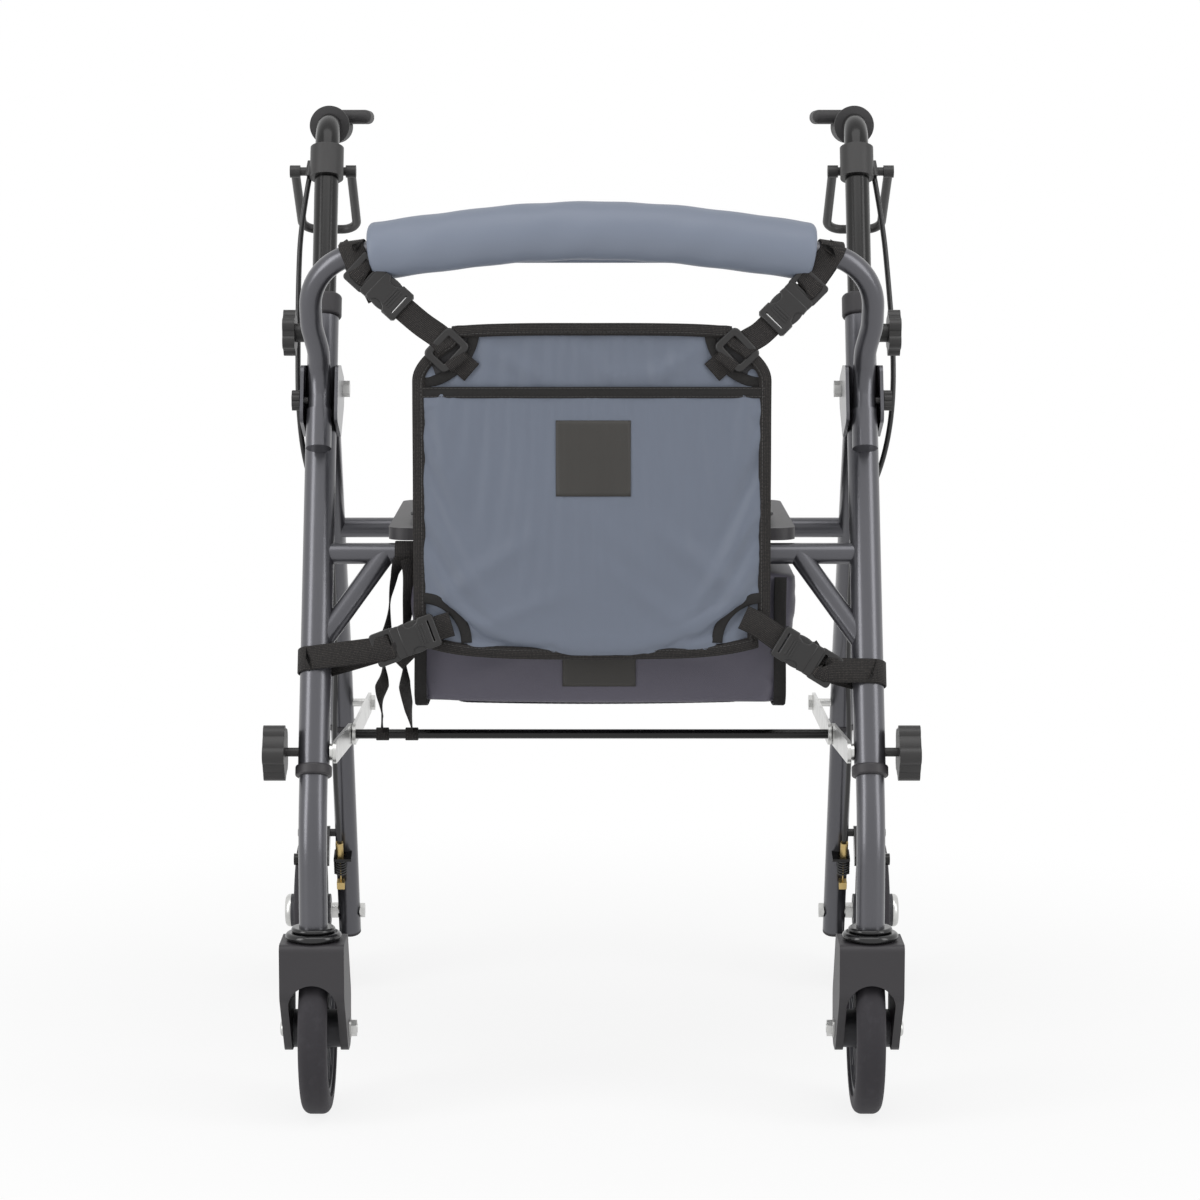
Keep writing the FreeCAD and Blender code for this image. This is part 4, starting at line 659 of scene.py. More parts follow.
def smoothed(mesh, levels=1, thickness=0):
    """A finer, smooth copy of a mesh. With a thickness, a sheet becomes a thin solid first."""
    maker = linked("smoothed", mesh)
    if thickness:
        wall = maker.modifiers.new("wall", "SOLIDIFY")
        wall.thickness = thickness
        wall.offset = 0
    finer = maker.modifiers.new("finer", "SUBSURF")
    finer.levels = finer.render_levels = levels
    result = baked(maker)
    result.polygons.foreach_set("use_smooth", [True] * len(result.polygons))
    return result


low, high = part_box("seat_cushion")
inset = Vector((4 * mm, 4 * mm, 0))
slab = solid_block(low + inset, high - inset - Vector((0, 0, 5 * mm)), 8 * mm, 6 * mm)
flat = [v.index for v in slab.vertices if v.co.z < low.z + 3 * mm]
slab = settled("seat_cushion", slab, flat, 16, 7 * mm, 4.0)
slab = smoothed(slab)
channel_at = 62 * mm
for v in slab.vertices:
    for side in (-1, 1):
        deep = math.exp(-((v.co.x - side * channel_at) / (3.2 * mm)) ** 2)
        ends_in = min(1, max(0, (v.co.z - low.z - 12 * mm) / (8 * mm)))
        v.co.z -= 2.6 * mm * deep * ends_in
    v.co.z = max(v.co.z, low.z)
seat_vinyl = vinyl("seat_vinyl", shade(44, 44, 46))
cushion = place("seat_cushion_padded", slab, "seat", "foam_vinyl", seat_vinyl)
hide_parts("seat_cushion")


def follow_tree():
    """A round cord along the host's edges."""
    tree, start, end = new_tree("cord_on_seam", (("Radius", 0.0015),))
    path = add(tree, "GeometryNodeMeshToCurve", {}, {0: start.outputs["Geometry"]})
    section = add(tree, "GeometryNodeCurvePrimitiveCircle", {}, {
        "Resolution": 8, "Radius": start.outputs["Radius"]})
    piping = add(tree, "GeometryNodeCurveToMesh", {}, {
        0: path.outputs[0], 1: section.outputs[0], "Fill Caps": True})
    finish_tree(tree, start, end, piping.outputs[0])
    return tree


def path_host(name, points, closed=False):
    host = bpy.data.meshes.new(name + "_path")
    edges = [(step, step + 1) for step in range(len(points) - 1)]
    if closed:
        edges.append((len(points) - 1, 0))
    host.from_pydata(points, edges, [])
    return host


def round_rectangle(low_x, high_x, low_y, high_y, radius, steps=8):
    """Points round a rectangle with rounded corners, as pairs."""
    points = []
    for x, y, turned in ((high_x - radius, high_y - radius, 0), (low_x + radius, high_y - radius, 90),
                         (low_x + radius, low_y + radius, 180), (high_x - radius, low_y + radius, 270)):
        for step in range(steps + 1):
            angle = math.radians(turned + 90 * step / steps)
            points.append((x + radius * math.cos(angle), y + radius * math.sin(angle)))
    return points


piping_tree = follow_tree()
seam_height = low.z + 9 * mm
seam = [(x, y, seam_height) for x, y in round_rectangle(
    low.x + 0.6 * mm, high.x - 0.6 * mm, low.y + 0.6 * mm, high.y - 0.6 * mm, 16 * mm)]
piping = grown("seat_piping", path_host("seat", seam, True), piping_tree, {"Radius": 1.8 * mm},
               seat_vinyl)
place("seat_piping", piping, "seat", "foam_vinyl")


# Front tote: a flat bag of satin nylon, a back sheet with a full-width pocket sewn on its front.
# The cloth is cut a little loose between its bound edges, so it puckers as it settles.
def satin_nylon(name, colour, shine):
    finish = Finish(name)
    x, y, z = finish.place().parts()
    yarn = 0.00045
    weave = (x * (math.tau / yarn)).wave() * (z * (math.tau / yarn)).wave()
    cloud = finish.noise(7, 4)
    slub = finish.noise(160, 3, 0.6, stretch=(1, 1, 0.15))
    darker = tuple(part * 0.86 for part in colour[:3]) + (1,)
    return finish.surface({
        "Base Color": (cloud * 0.6 + slub * 0.3).mix(colour, darker),
        "Roughness": shine + (cloud - 0.5) * 0.12 + weave * 0.03,
        "Sheen Weight": 0.25, "Sheen Roughness": 0.4,
        "Normal": finish.bump(weave * 0.6 + slub, 0.00012, 0.4),
    })


tote_nylon = satin_nylon("tote_nylon", shade(108, 116, 131), 0.42)
tote_left = -157 * mm
tote_right = 157 * mm
tote_top = 705.5 * mm
sheet_plane = -240 * mm
pocket_plane = -243.5 * mm
pocket_left = tote_left + 6 * mm
pocket_right = tote_right - 6 * mm
pocket_top = 650 * mm
corner_cut = 41 * mm


def bottom_edge(x):
    """Height of the tote's lower edge, which sags between its two straps."""
    share = min(1, abs(x) / tote_right)
    return 409 * mm + 13 * mm * share ** 5 + 2 * mm * share


def top_edge(x):
    share = min(1, abs(x) / tote_right)
    return tote_top - 8 * mm * share ** 4


def half_width(height):
    """Half the tote's width at a height: the full width, less its rounded corners."""
    above = max(0.0, height - (tote_top - 46 * mm)) / (38 * mm)
    below = max(0.0, (bottom_edge(tote_right) + 14 * mm) - height) / (14 * mm)
    return tote_right - 34 * mm * min(1, above) ** 2.2 - 9 * mm * min(1, below) ** 2


def cloth_grid(name, rows, plane):
    mesh = skin(name, [[(x, plane, z) for x, z in row] for row in rows], False, False)
    count, across = len(rows), len(rows[0])
    edge = [row * across + column for row in range(count) for column in range(across)
            if row in (0, count - 1) or column in (0, across - 1)]
    return mesh, edge


def face_front(mesh):
    """Turns a flat sheet's faces to the front."""
    if sum(face.normal.y * face.area for face in mesh.polygons) > 0:
        mesh.flip_normals()


columns = 84
sheet_rows = []
for step in range(80):
    v = step / 79
    row = []
    for column in range(columns + 1):
        u = column / columns * 2 - 1
        middle_height = bottom_edge(0) + v * (top_edge(0) - bottom_edge(0))
        x = u * half_width(middle_height)
        z = bottom_edge(x) + v * (top_edge(x) - bottom_edge(x))
        row.append((x, z))
    sheet_rows.append(row)
sheet_mesh, sheet_edge = cloth_grid("tote_back_sheet", sheet_rows, sheet_plane)
face_front(sheet_mesh)
sheet_mesh = settled("tote_back_sheet", sheet_mesh, sheet_edge, 22, 3 * mm, 0.25, 0.4, -0.012, 12, 0.15)


def corner_reach(height, foot):
    """How far the pocket's quarter-round corner cuts in at a height."""
    above = height - foot
    return math.sqrt(corner_cut ** 2 - above ** 2) if above < corner_cut else 0.0


pocket_foot = bottom_edge(pocket_right) + 2 * mm
heights = [corner_cut * math.sin(math.radians(90 * step / 18)) for step in range(18)]
heights += [corner_cut + (pocket_top - pocket_foot - corner_cut) * step / 58 for step in range(59)]
pocket_rows = []
for above in heights:
    height = pocket_foot + above
    inward = corner_reach(height, pocket_foot)
    row = []
    for column in range(columns + 1):
        share = column / columns
        x = pocket_left + inward + share * (pocket_right - pocket_left - 2 * inward)
        droop = (bottom_edge(x) + 2 * mm - pocket_foot) * max(0, 1 - above / (60 * mm))
        row.append((x, height + droop))
    pocket_rows.append(row)
pocket_mesh, pocket_edge = cloth_grid("tote_pocket", pocket_rows, pocket_plane)
face_front(pocket_mesh)
pocket_mesh = settled("tote_pocket", pocket_mesh, pocket_edge, 26, 5 * mm, 0.5, 0.6, -0.014, 12, 0.12)


def crease(points, start, end, width, depth):
    """Raises a soft fold along a line on a front-facing sheet."""
    start, end = Vector(start), Vector(end)
    run = end - start
    for v in points:
        flat = Vector((v.co.x, v.co.z)) - start
        share = max(0, min(1, flat.dot(run) / run.length_squared))
        gap = (flat - run * share).length / width
        v.co.y -= depth * math.exp(-gap * gap) * math.sin(math.pi * (0.08 + 0.84 * share))


for start, end, width, depth in (
        ((-0.148, 0.452), (-0.05, 0.52), 9, 2.2), ((-0.12, 0.428), (-0.02, 0.47), 8, 1.6),
        ((0.146, 0.455), (0.05, 0.53), 10, 2.4), ((0.10, 0.425), (0.0, 0.50), 9, 1.8),
        ((-0.02, 0.55), (0.07, 0.475), 11, 1.4), ((-0.07, 0.60), (-0.03, 0.46), 14, 1.2),
        ((0.10, 0.62), (0.13, 0.50), 12, 1.3), ((-0.13, 0.60), (-0.11, 0.48), 10, 1.0)):
    crease(pocket_mesh.vertices, start, end, width * mm, depth * mm)
for start, end, width, depth in (
        ((-0.10, 0.69), (-0.04, 0.655), 7, 2.2), ((-0.02, 0.695), (0.02, 0.655), 8, 1.8),
        ((0.10, 0.69), (0.05, 0.655), 7, 2.4), ((0.0, 0.66), (0.09, 0.665), 6, 1.2)):
    crease(sheet_mesh.vertices, start, end, width * mm, depth * mm)


cloth_thickness = 0.9 * mm
tote_sheet = place("tote_back_sheet", smoothed(sheet_mesh, 1, cloth_thickness), "front_frame",
                   "tote_cloth", tote_nylon)
tote_pocket = place("tote_pocket", smoothed(pocket_mesh, 1, cloth_thickness), "front_frame",
                    "tote_cloth", tote_nylon)
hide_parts("tote_bag")
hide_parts("tote_bag")


# The tote's edges are bound in woven black webbing folded over the cloth, and a flat band hems
# the pocket and its quarter-round corners. The top corners are backed with black cloth.
def smooth_line(points, step=2.5 * mm, closed=False):
    """Even points on a smooth line through the given ones."""
    points = [Vector(point) for point in points]
    count = len(points)
    fine = []
    for number in range(count if closed else count - 1):
        if closed:
            four = [points[(number + offset) % count] for offset in (-1, 0, 1, 2)]
        else:
            four = [points[min(max(number + offset, 0), count - 1)] for offset in (-1, 0, 1, 2)]
        length = (four[2] - four[1]).length
        parts = max(2, int(length / step))
        for part in range(parts):
            t = part / parts
            fine.append(0.5 * (2 * four[1] + (four[2] - four[0]) * t
                               + (2 * four[0] - 5 * four[1] + 4 * four[2] - four[3]) * t ** 2
                               + (3 * four[1] - four[0] - 3 * four[2] + four[3]) * t ** 3))
    if not closed:
        fine.append(points[-1])
    return fine


def ribbon(name, points, facing, width, thickness, closed=False):
    """A flat band along a line; facing is one direction or one for each point."""
    count = len(points)
    half, thin = width / 2, thickness / 2
    section = [(-half, -thin * 0.4), (-half + thin * 0.7, -thin), (0, -thin), (half - thin * 0.7, -thin),
               (half, -thin * 0.4), (half, thin * 0.4), (half - thin * 0.7, thin), (0, thin),
               (-half + thin * 0.7, thin), (-half, thin * 0.4)]
    rows, travelled = [], [0.0]
    for number in range(count):
        before = points[number - 1] if number or closed else points[0]
        after = points[(number + 1) % count] if number < count - 1 or closed else points[-1]
        along = (after - before).normalized()
        face = Vector(facing[number] if isinstance(facing, list) else facing)
        face = (face - along * face.dot(along)).normalized()
        across = along.cross(face)
        rows.append([points[number] + across * a + face * b for a, b in section])
        travelled.append(travelled[-1] + (points[(number + 1) % count] - points[number]).length)
    around = len(section)
    mesh = bpy.data.meshes.new(name)
    faces, places = [], []
    for row in range(count if closed else count - 1):
        below = (row + 1) % count
        for column in range(around):
            beside = (column + 1) % around
            faces.append((row * around + column, row * around + beside,
                          below * around + beside, below * around + column))
            places += [(section[column][0], travelled[row]), (section[beside][0], travelled[row]),
                       (section[beside][0], travelled[row + 1]), (section[column][0], travelled[row + 1])]
    if not closed:
        last = (count - 1) * around
        faces += [tuple(range(around)), tuple(reversed(range(last, last + around)))]
        places += [(a, 0.0) for a, b in section] + [(a, travelled[count - 1])
                                                    for a, b in reversed(section)]
    mesh.from_pydata([point for row in rows for point in row], [], faces)
    weave = mesh.uv_layers.new(name="weave")
    for loop, spot in zip(weave.data, places):
        loop.uv = spot
    outward(mesh)
    mesh.polygons.foreach_set("use_smooth", [True] * len(mesh.polygons))
    return mesh


def webbing(name, colour, speck, cell=1.5 * mm):
    finish = Finish(name)
    across, along, _ = finish.own_map("weave").parts()
    turns = math.tau / cell
    first = (across * turns * 0.5 + along * turns * 0.62).wave()
    second = (across * turns * 0.5 - along * turns * 0.62).wave()
    yarn = first * second
    fluff = finish.noise(1700, 2)
    crown = yarn.rise(0.25, 0.85) * fluff.rise(0.35, 0.6)
    return finish.surface({
        "Base Color": (crown * 0.8).mix(colour, speck), "Roughness": 0.72 - crown * 0.16,
        "Specular IOR Level": 0.35, "Normal": finish.bump(yarn * 0.8 + fluff * 0.3, 0.0004, 0.8),
    })


def side_edge(height, side):
    """A point on the tote's left or right edge, as far up its side as height is up its middle."""
    x = side * half_width(height)
    share = (height - bottom_edge(0)) / (top_edge(0) - bottom_edge(0))
    return x, bottom_edge(x) + share * (top_edge(x) - bottom_edge(x))


woven_black = webbing("woven_black", shade(23, 21, 21), shade(86, 80, 74))
tape_black = webbing("tape_black", shade(27, 26, 26), shade(54, 51, 48), 1.0 * mm)
front = Vector((0, -1, 0))
binding_width = 11 * mm
outline = []
edge_steps = 26
for step in range(edge_steps):
    x = -half_width(bottom_edge(0)) + 2 * half_width(bottom_edge(0)) * step / (edge_steps - 1)
    outline.append((x, bottom_edge(x)))
side_heights = [bottom_edge(0) + (top_edge(0) - bottom_edge(0)) * step / 60 for step in range(1, 60)]
outline += [side_edge(height, 1) for height in side_heights]
for step in range(edge_steps):
    x = half_width(top_edge(0)) * (1 - 2 * step / (edge_steps - 1))
    outline.append((x, top_edge(x)))
outline += [side_edge(height, -1) for height in reversed(side_heights)]
middle_of_tote = Vector((0, 0, 0.557))
inset_line = []
count = len(outline)
for number, (x, z) in enumerate(outline):
    before, after = outline[number - 1], outline[(number + 1) % count]
    along = Vector((after[0] - before[0], 0, after[1] - before[1])).normalized()
    inward = Vector((-along.z, 0, along.x))
    spot = Vector((x, sheet_plane - 2.2 * mm, z)) + inward * (binding_width / 2 - 1 * mm)
    spot.y += 0.5 * mm * math.sin(x * 90 + z * 70)
    inset_line.append(spot)
edge_line = smooth_line(inset_line, 3 * mm, closed=True)
place("tote_binding", ribbon("tote_binding", edge_line, front, binding_width, 6.6 * mm, True),
      "front_frame", "webbing", woven_black)


def before_cloth(spots, x, z, lift):
    """A point that far in front of the cloth that the spots lie on."""
    best = min(spots, key=lambda spot: (spot[0] - x) ** 2 + (spot[2] - z) ** 2)
    return Vector((x, best[1] - lift, z))


pocket_spots = [tuple(v.co) for v in pocket_mesh.vertices]
hem_line = smooth_line([
    before_cloth(pocket_spots, pocket_left + (pocket_right - pocket_left) * step / 12,
                 pocket_top - 4.5 * mm, 0.3 * mm) for step in range(13)], 3 * mm)
place("pocket_hem", ribbon("pocket_hem", hem_line, front, 10 * mm, 2.6 * mm), "front_frame",
      "webbing", tape_black)
backing_nylon = satin_nylon("black_backing", shade(30, 29, 32), 0.6)
backing_radius = 50 * mm


def tape_arc(name, corner, side, radius, upward, first, sweep):
    """A flat tape in an arc round a corner of the tote, from first through sweep, in degrees."""
    arc = []
    for step in range(13):
        angle = math.radians(first + sweep * step / 12)
        arc.append(corner + Vector((-side * radius * math.cos(angle), 0,
                                    upward * radius * math.sin(angle))))
    place(name, ribbon(name, smooth_line(arc), front, 9.5 * mm, 2.4 * mm), "front_frame", "webbing",
          tape_black)


for name, side in sides:
    low_corner = Vector((side * pocket_right, pocket_plane - 0.6 * mm, pocket_foot))
    tape_arc("pocket_arc_" + name, low_corner, side, corner_cut - 1 * mm, 1, 0, 90)
    top_corner = Vector((side * (tote_right - 4 * mm), sheet_plane - 1.6 * mm, tote_top - 2 * mm))
    tape_arc("corner_arc_" + name, top_corner, side, backing_radius, -1, 4, 84)
    fan = []
    for ring_number in range(9):
        reach_out = backing_radius * ring_number / 8
        row = []
        for step in range(13):
            angle = math.radians(90 * step / 12)
            x = top_corner.x - side * reach_out * math.cos(angle)
            z = top_corner.z - reach_out * math.sin(angle)
            x = side * min(abs(x), half_width(z) - 3 * mm)
            z = min(z, top_edge(x) - 3 * mm)
            row.append((x, sheet_plane - 1.0 * mm, z))
        fan.append(row)
    backing = skin("corner_backing_" + name, fan[1:], False, False)
    face_front(backing)
    place("corner_backing_" + name, smoothed(backing, 0, 0.8 * mm), "front_frame", "webbing",
          backing_nylon)


# Rows of black thread hold the pocket hem and the edge binding down: short stitches one by one, two rows
# along the hem and one along the binding, each grown on a line that runs just in front of it.
def stitch_tree():
    tree, start, end = new_tree("sewn_stitches", (
        ("Gap", 0.0034), ("Long", 0.0024), ("Thick", 0.0003)))
    path = add(tree, "GeometryNodeMeshToCurve", {}, {0: start.outputs["Geometry"]})
    spots = add(tree, "GeometryNodeCurveToPoints", {"mode": "LENGTH"},
                {"Curve": path.outputs[0], "Length": start.outputs["Gap"]})
    thread = add(tree, "GeometryNodeMeshCylinder", {}, {
        "Vertices": 6, "Radius": start.outputs["Thick"], "Depth": start.outputs["Long"]})
    sewn = add(tree, "GeometryNodeInstanceOnPoints", {}, {
        "Points": spots.outputs["Points"], "Instance": thread.outputs["Mesh"],
        "Rotation": spots.outputs["Rotation"]})
    finish_tree(tree, start, end, sewn.outputs[0])
    return tree


stitches = stitch_tree()
thread_black = moulded("black_thread", shade(46, 44, 43), 0.45)
rows_of_stitches = {"hem_low": (hem_line, Vector((0, -1.5, -3.6))),
                    "hem_high": (hem_line, Vector((0, -1.5, 3.6)))}
stitched_edge = [spot.lerp(Vector((0, spot.y, middle_of_tote.z)), 0.016) for spot in edge_line]
rows_of_stitches["binding"] = (stitched_edge + stitched_edge[:1], Vector((0, -3.5, 0)))
for name, (line, offset) in rows_of_stitches.items():
    raised = [point + offset * mm for point in line]
    mesh = grown("stitches_" + name, path_host("stitches_" + name, raised), stitches, {}, thread_black)
    place("stitches_" + name, mesh, "front_frame", "webbing")


# A plain dark rubber patch is heat-pressed on the pocket, and a like one on the bag below.
def patch_mesh(name, low_x, high_x, low_z, high_z, spots, lift):
    rows = []
    for step in range(19):
        z = low_z + (high_z - low_z) * step / 18
        rows.append([before_cloth(spots, low_x + (high_x - low_x) * column / 18, z, lift)
                     for column in range(19)])
    mesh = skin(name, rows, False, False)
    face_front(mesh)
    return smoothed(mesh, 0, 0.7 * mm)


patch_rubber = moulded("patch_rubber", shade(46, 44, 41), 0.6, 0.0001)
patch = patch_mesh("pocket_patch", -31.7 * mm, 34.3 * mm, 554 * mm, 621 * mm,
                   pocket_spots, 0.75 * mm)
place("pocket_patch", patch, "front_frame", "tote_cloth", patch_rubber)


tote_top - bottom_edge(0)
pocket_top - bottom_edge(0) - 2 * mm


# Four webbing straps hang and brace the tote. Each is sewn to a ring or to the tote's corner, runs
# through a side-release buckle of moulded nylon and wraps a tube of the frame.
def moulding(name, outlines, thickness, bevel):
    """A flat moulded part from closed outlines; an outline inside another is a hole."""
    drawing = bpy.data.curves.new(name, "CURVE")
    drawing.dimensions = "2D"
    drawing.fill_mode = "BOTH"
    drawing.extrude = thickness / 2 - bevel
    drawing.bevel_depth = bevel
    drawing.bevel_resolution = 2
    for outline_points in outlines:
        spline = drawing.splines.new("POLY")
        spline.points.add(len(outline_points) - 1)
        for point, (x, y) in zip(spline.points, outline_points):
            point.co = (x, y, 0, 1)
        spline.use_cyclic_u = True
    mesh = baked(linked(name, drawing))
    welded = bmesh.new()
    welded.from_mesh(mesh)
    bmesh.ops.remove_doubles(welded, verts=welded.verts, dist=1e-6)
    bmesh.ops.recalc_face_normals(welded, faces=welded.faces)
    welded.to_mesh(mesh)
    welded.free()
    return mesh


def merged(name, meshes):
    """Several meshes as one."""
    whole = bmesh.new()
    for mesh in meshes:
        whole.from_mesh(mesh)
    result = bpy.data.meshes.new(name)
    whole.to_mesh(result)
    whole.free()
    return result


def oval(x, y, long, wide, steps=20):
    return [(x + long * math.cos(math.tau * step / steps), y + wide * math.sin(math.tau * step / steps))
            for step in range(steps)]


def box_outline(low_x, high_x, half, radius):
    return round_rectangle(low_x * mm, high_x * mm, -half * mm, half * mm, radius * mm, 4)


def buckle_mesh(name):
    """A buckle lying along X from its socket at 0 to its adjuster at 58 mm."""
    notch = [(11.5, 13.6), (13.5, 10.6), (17.5, 8.6), (22, 8.2), (25, 9.6), (27, 13.2)]
    socket = [(0, -12.4), (1.2, -13.6), (11.5, -13.6)] + [(x, -y) for x, y in notch[1:]]
    socket += [(31, -12.8), (31, 12.8)] + list(reversed(notch)) + [(1.2, 13.6), (0, 12.4)]
    shell = moulding(name + "_socket", [[(x * mm, y * mm) for x, y in socket],
                                        box_outline(2.6, 6.2, 10.8, 0.8)], 8.4 * mm, 1.3 * mm)
    prongs = [moulding(name + "_prong", [oval(19.5 * mm, side * 10.4 * mm, 8.5 * mm, 3.0 * mm)],
                       5.6 * mm, 1.4 * mm) for side in (-1, 1)]
    shoulder = moulding(name + "_shoulder", [box_outline(31.4, 38.5, 13.2, 1.6)], 7.0 * mm, 1.2 * mm)
    adjuster = moulding(name + "_adjuster", [
        box_outline(37, 57.5, 14.2, 2.2), box_outline(40.6, 45.2, 11.4, 0.8),
        box_outline(49.2, 53.8, 11.4, 0.8)], 5.0 * mm, 1.1 * mm)
    grips = [moulding(name + "_ridge", [box_outline(x, x + 1.1, 8.5, 0.3)], 9.6 * mm, 0.4 * mm)
             for x in (9.5, 12.0, 14.5)]
    return merged(name, [shell, shoulder, adjuster] + prongs + grips)


def frame_of(start, end, facing):
    """The turn and place that lay X along start to end with Z along facing."""
    along = (end - start).normalized()
    face = (facing - along * facing.dot(along)).normalized()
    across = face.cross(along)
    turned = Matrix((along, across, face)).transposed().to_4x4()
    return Matrix.Translation(start) @ turned


def round_bar(centre, axis, radius, toward, steps=26):
    """Points and facings of a band that comes from toward, goes round a bar and back."""
    across = (toward - centre).normalized()
    up = axis.cross(across).normalized()
    out = up.cross(axis).normalized()
    points, facings = [], []
    for step in range(steps + 1):
        angle = math.radians(80 + 200 * step / steps)
        facing = out * math.cos(angle) + up * math.sin(angle)
        points.append(centre + facing * radius)
        facings.append(facing)
    return points, facings


def strap(name, body, points, facings, width, thickness, finish=None, step=2.5 * mm):
    """Places a strap that runs through points, each with its own facing."""
    line = smooth_line(points, step)
    marks = [0.0]
    for before, after in zip(points, points[1:]):
        marks.append(marks[-1] + (Vector(after) - Vector(before)).length)
    turned, number, travelled = [], 0, 0.0
    for spot_number, spot in enumerate(line):
        if spot_number:
            travelled += (spot - line[spot_number - 1]).length
        while number < len(points) - 2 and travelled > marks[number + 1]:
            number += 1
        span = max(1e-6, marks[number + 1] - marks[number])
        share = min(1, max(0, (travelled - marks[number]) / span))
        turned.append(Vector(facings[number]).lerp(Vector(facings[number + 1]), share))
    return place(name, ribbon(name, line, turned, width, thickness), body, "webbing",
                 finish or woven_black)


strap_width = 22 * mm
strap_thickness = 1.5 * mm
buckle_nylon = moulded("buckle_nylon", shade(28, 27, 27), 0.32, 0.00004)
lean = math.radians(22.5)
tube_axis = Vector((0, math.sin(lean), math.cos(lean)))


def on_tube(side, height):
    """A point on the front main tube's axis."""
    return Vector((side * leg_across, (-292 + (height / mm - 265) * math.tan(lean)) * mm, height))


leg_band, hoop_band = 14.9 * mm, 10.9 * mm
hoop_strap_across = 210 * mm
straps = {
    "low_left": {
        "sewn": [(-124, -247.5, 441), (-133, -248.5, 438.5)],
        "buckle": ((-138, -251.5, 437), (-194, -253, 416)), "tail": (-160, -246, 408),
        "bar": (on_tube(-1, 405 * mm), tube_axis), "band": leg_band, "facing": (0, -1, 0.1)},
    "low_right": {
        "sewn": [(134, -247.5, 447), (148, -248.5, 440)],
        "buckle": ((166, -251.5, 427), (214, -252, 397.5)), "tail": (190, -246, 420),
        "bar": (on_tube(1, 394 * mm), tube_axis), "band": leg_band, "facing": (0, -1, 0.1)},
    "high_left": {
        "sewn": [(-126, -245.5, 685), (-133, -245, 694), (-150, -242, 706)],
        "buckle": ((-166, -237.5, 719), (-206, -232.5, 755)), "tail": (-187, -228, 728),
        "bar": hoop_axis(-hoop_strap_across), "band": hoop_band, "facing": (0, -1, 0.25)},
    "high_right": {
        "sewn": [(128, -245.5, 684), (136, -245, 690), (148, -242.5, 697)],
        "buckle": ((157, -238.5, 705), (196, -233, 744)), "tail": (178, -228, 735),
        "bar": hoop_axis(hoop_strap_across), "band": hoop_band, "facing": (0, -1, 0.25)},
}
for name, facts in straps.items():
    start, end = (Vector(point) * mm for point in facts["buckle"])
    facing = Vector(facts["facing"]).normalized()
    buckle = buckle_mesh("buckle_" + name)
    buckle.transform(frame_of(start, end, facing))
    made = place(buckle.name, buckle, "front_frame", "black_plastic", buckle_nylon)
    if name == "low_left":
        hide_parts("tote_straps")
    along = (end - start).normalized()
    points = [Vector(point) * mm for point in facts["sewn"]] + [start + along * 4 * mm]
    strap("strap_sewn_" + name, "front_frame", points, [facing] * len(points), strap_width,
          strap_thickness)
    centre, axis = facts["bar"]
    adjuster = start + along * 50 * mm
    band, facings = round_bar(centre, axis, facts["band"] + strap_thickness / 2, adjuster)
    if (band[0] - centre).dot(facing) < 0:
        band.reverse()
        facings.reverse()
    near = adjuster + facing * 1.2 * mm
    back = adjuster - facing * 1.4 * mm
    points = [start + along * 43 * mm + facing * 2.6 * mm, near + facing * 1.6 * mm] + band + [
        back, start + along * 40 * mm - facing * 2.2 * mm, Vector(facts["tail"]) * mm]
    facings = [facing, facing] + facings + [-facing, -facing, -facing]
    strap("strap_wrap_" + name, "front_frame", points, facings, strap_width, strap_thickness)

ring_across, ring_height = 127.5, 683
for name, side in sides:
    loop = moulding("ring_" + name, [box_outline(-12, 12, 15.5, 4), box_outline(-8.6, 8.6, 12, 2.4)],
                    4.2 * mm, 1.6 * mm)
    at = Vector((side * ring_across, -245, ring_height)) * mm
    loop.transform(frame_of(at, at + Vector((side, 0, 0.95)), Vector((0.1 * side, -1, 0.12))))
    place("ring_" + name, loop, "front_frame", "black_plastic", buckle_nylon)
    tab_points = [at + Vector((-side * across, y, z)) * mm for across, y, z in (
        (22, 3.2, -20), (10, 1.5, -9.5), (7, -1.8, -7), (12, -1.0, -13))]
    strap("ring_tab_" + name, "front_frame", tab_points, [front] * 4, 20 * mm, 1.4 * mm)


# The bag under the seat: a soft nylon box in dark grey that hangs from two loops on the front
# crossbar. Its body is gathered wider at the top, sags at the bottom and has taped side seams.
bag_left, bag_right = -157 * mm, 172 * mm
bag_front, bag_back = -206 * mm, -14 * mm
bag_foot, bag_head = 363 * mm, 482 * mm
bag_rows = []
levels = 22
for level in range(levels):
    v = level / (levels - 1)
    height = bag_foot + (bag_head - bag_foot) * v
    swell = math.sin(math.pi * min(1, v * 0.62 + 0.04))
    left = bag_left - 9 * mm * swell
    right = bag_right + 12 * mm * swell
    row = []
    for x, y in round_rectangle(left, right, bag_front + 3 * mm * v, bag_back, 15 * mm, 5):
        row.append((x, y, height))
    fine_row = []
    for number, point in enumerate(row):
        after = row[(number + 1) % len(row)]
        gap = (Vector(after) - Vector(point)).length
        parts = max(1, round(gap / (9 * mm)))
        fine_row += [tuple(Vector(point).lerp(Vector(after), part / parts)) for part in range(parts)]
    bag_rows.append(fine_row)
widest = min(len(row) for row in bag_rows)
bag_rows = [row[:widest] for row in bag_rows]


def capped(name, rows):
    """A closed bag: rows from foot to head, closed at both ends by a narrowing fan."""
    closing = []
    for row in (rows[0], rows[-1]):
        middle = sum((Vector(point) for point in row), Vector()) / len(row)
        closing.append([[tuple(Vector(point).lerp(middle, share)) for point in row]
                        for share in (0.97, 0.8, 0.55, 0.3, 0.08)])
    full = list(reversed(closing[0])) + rows + closing[1]
    mesh = skin(name, full, False, True)
    outward(mesh, fill=True)
    return mesh


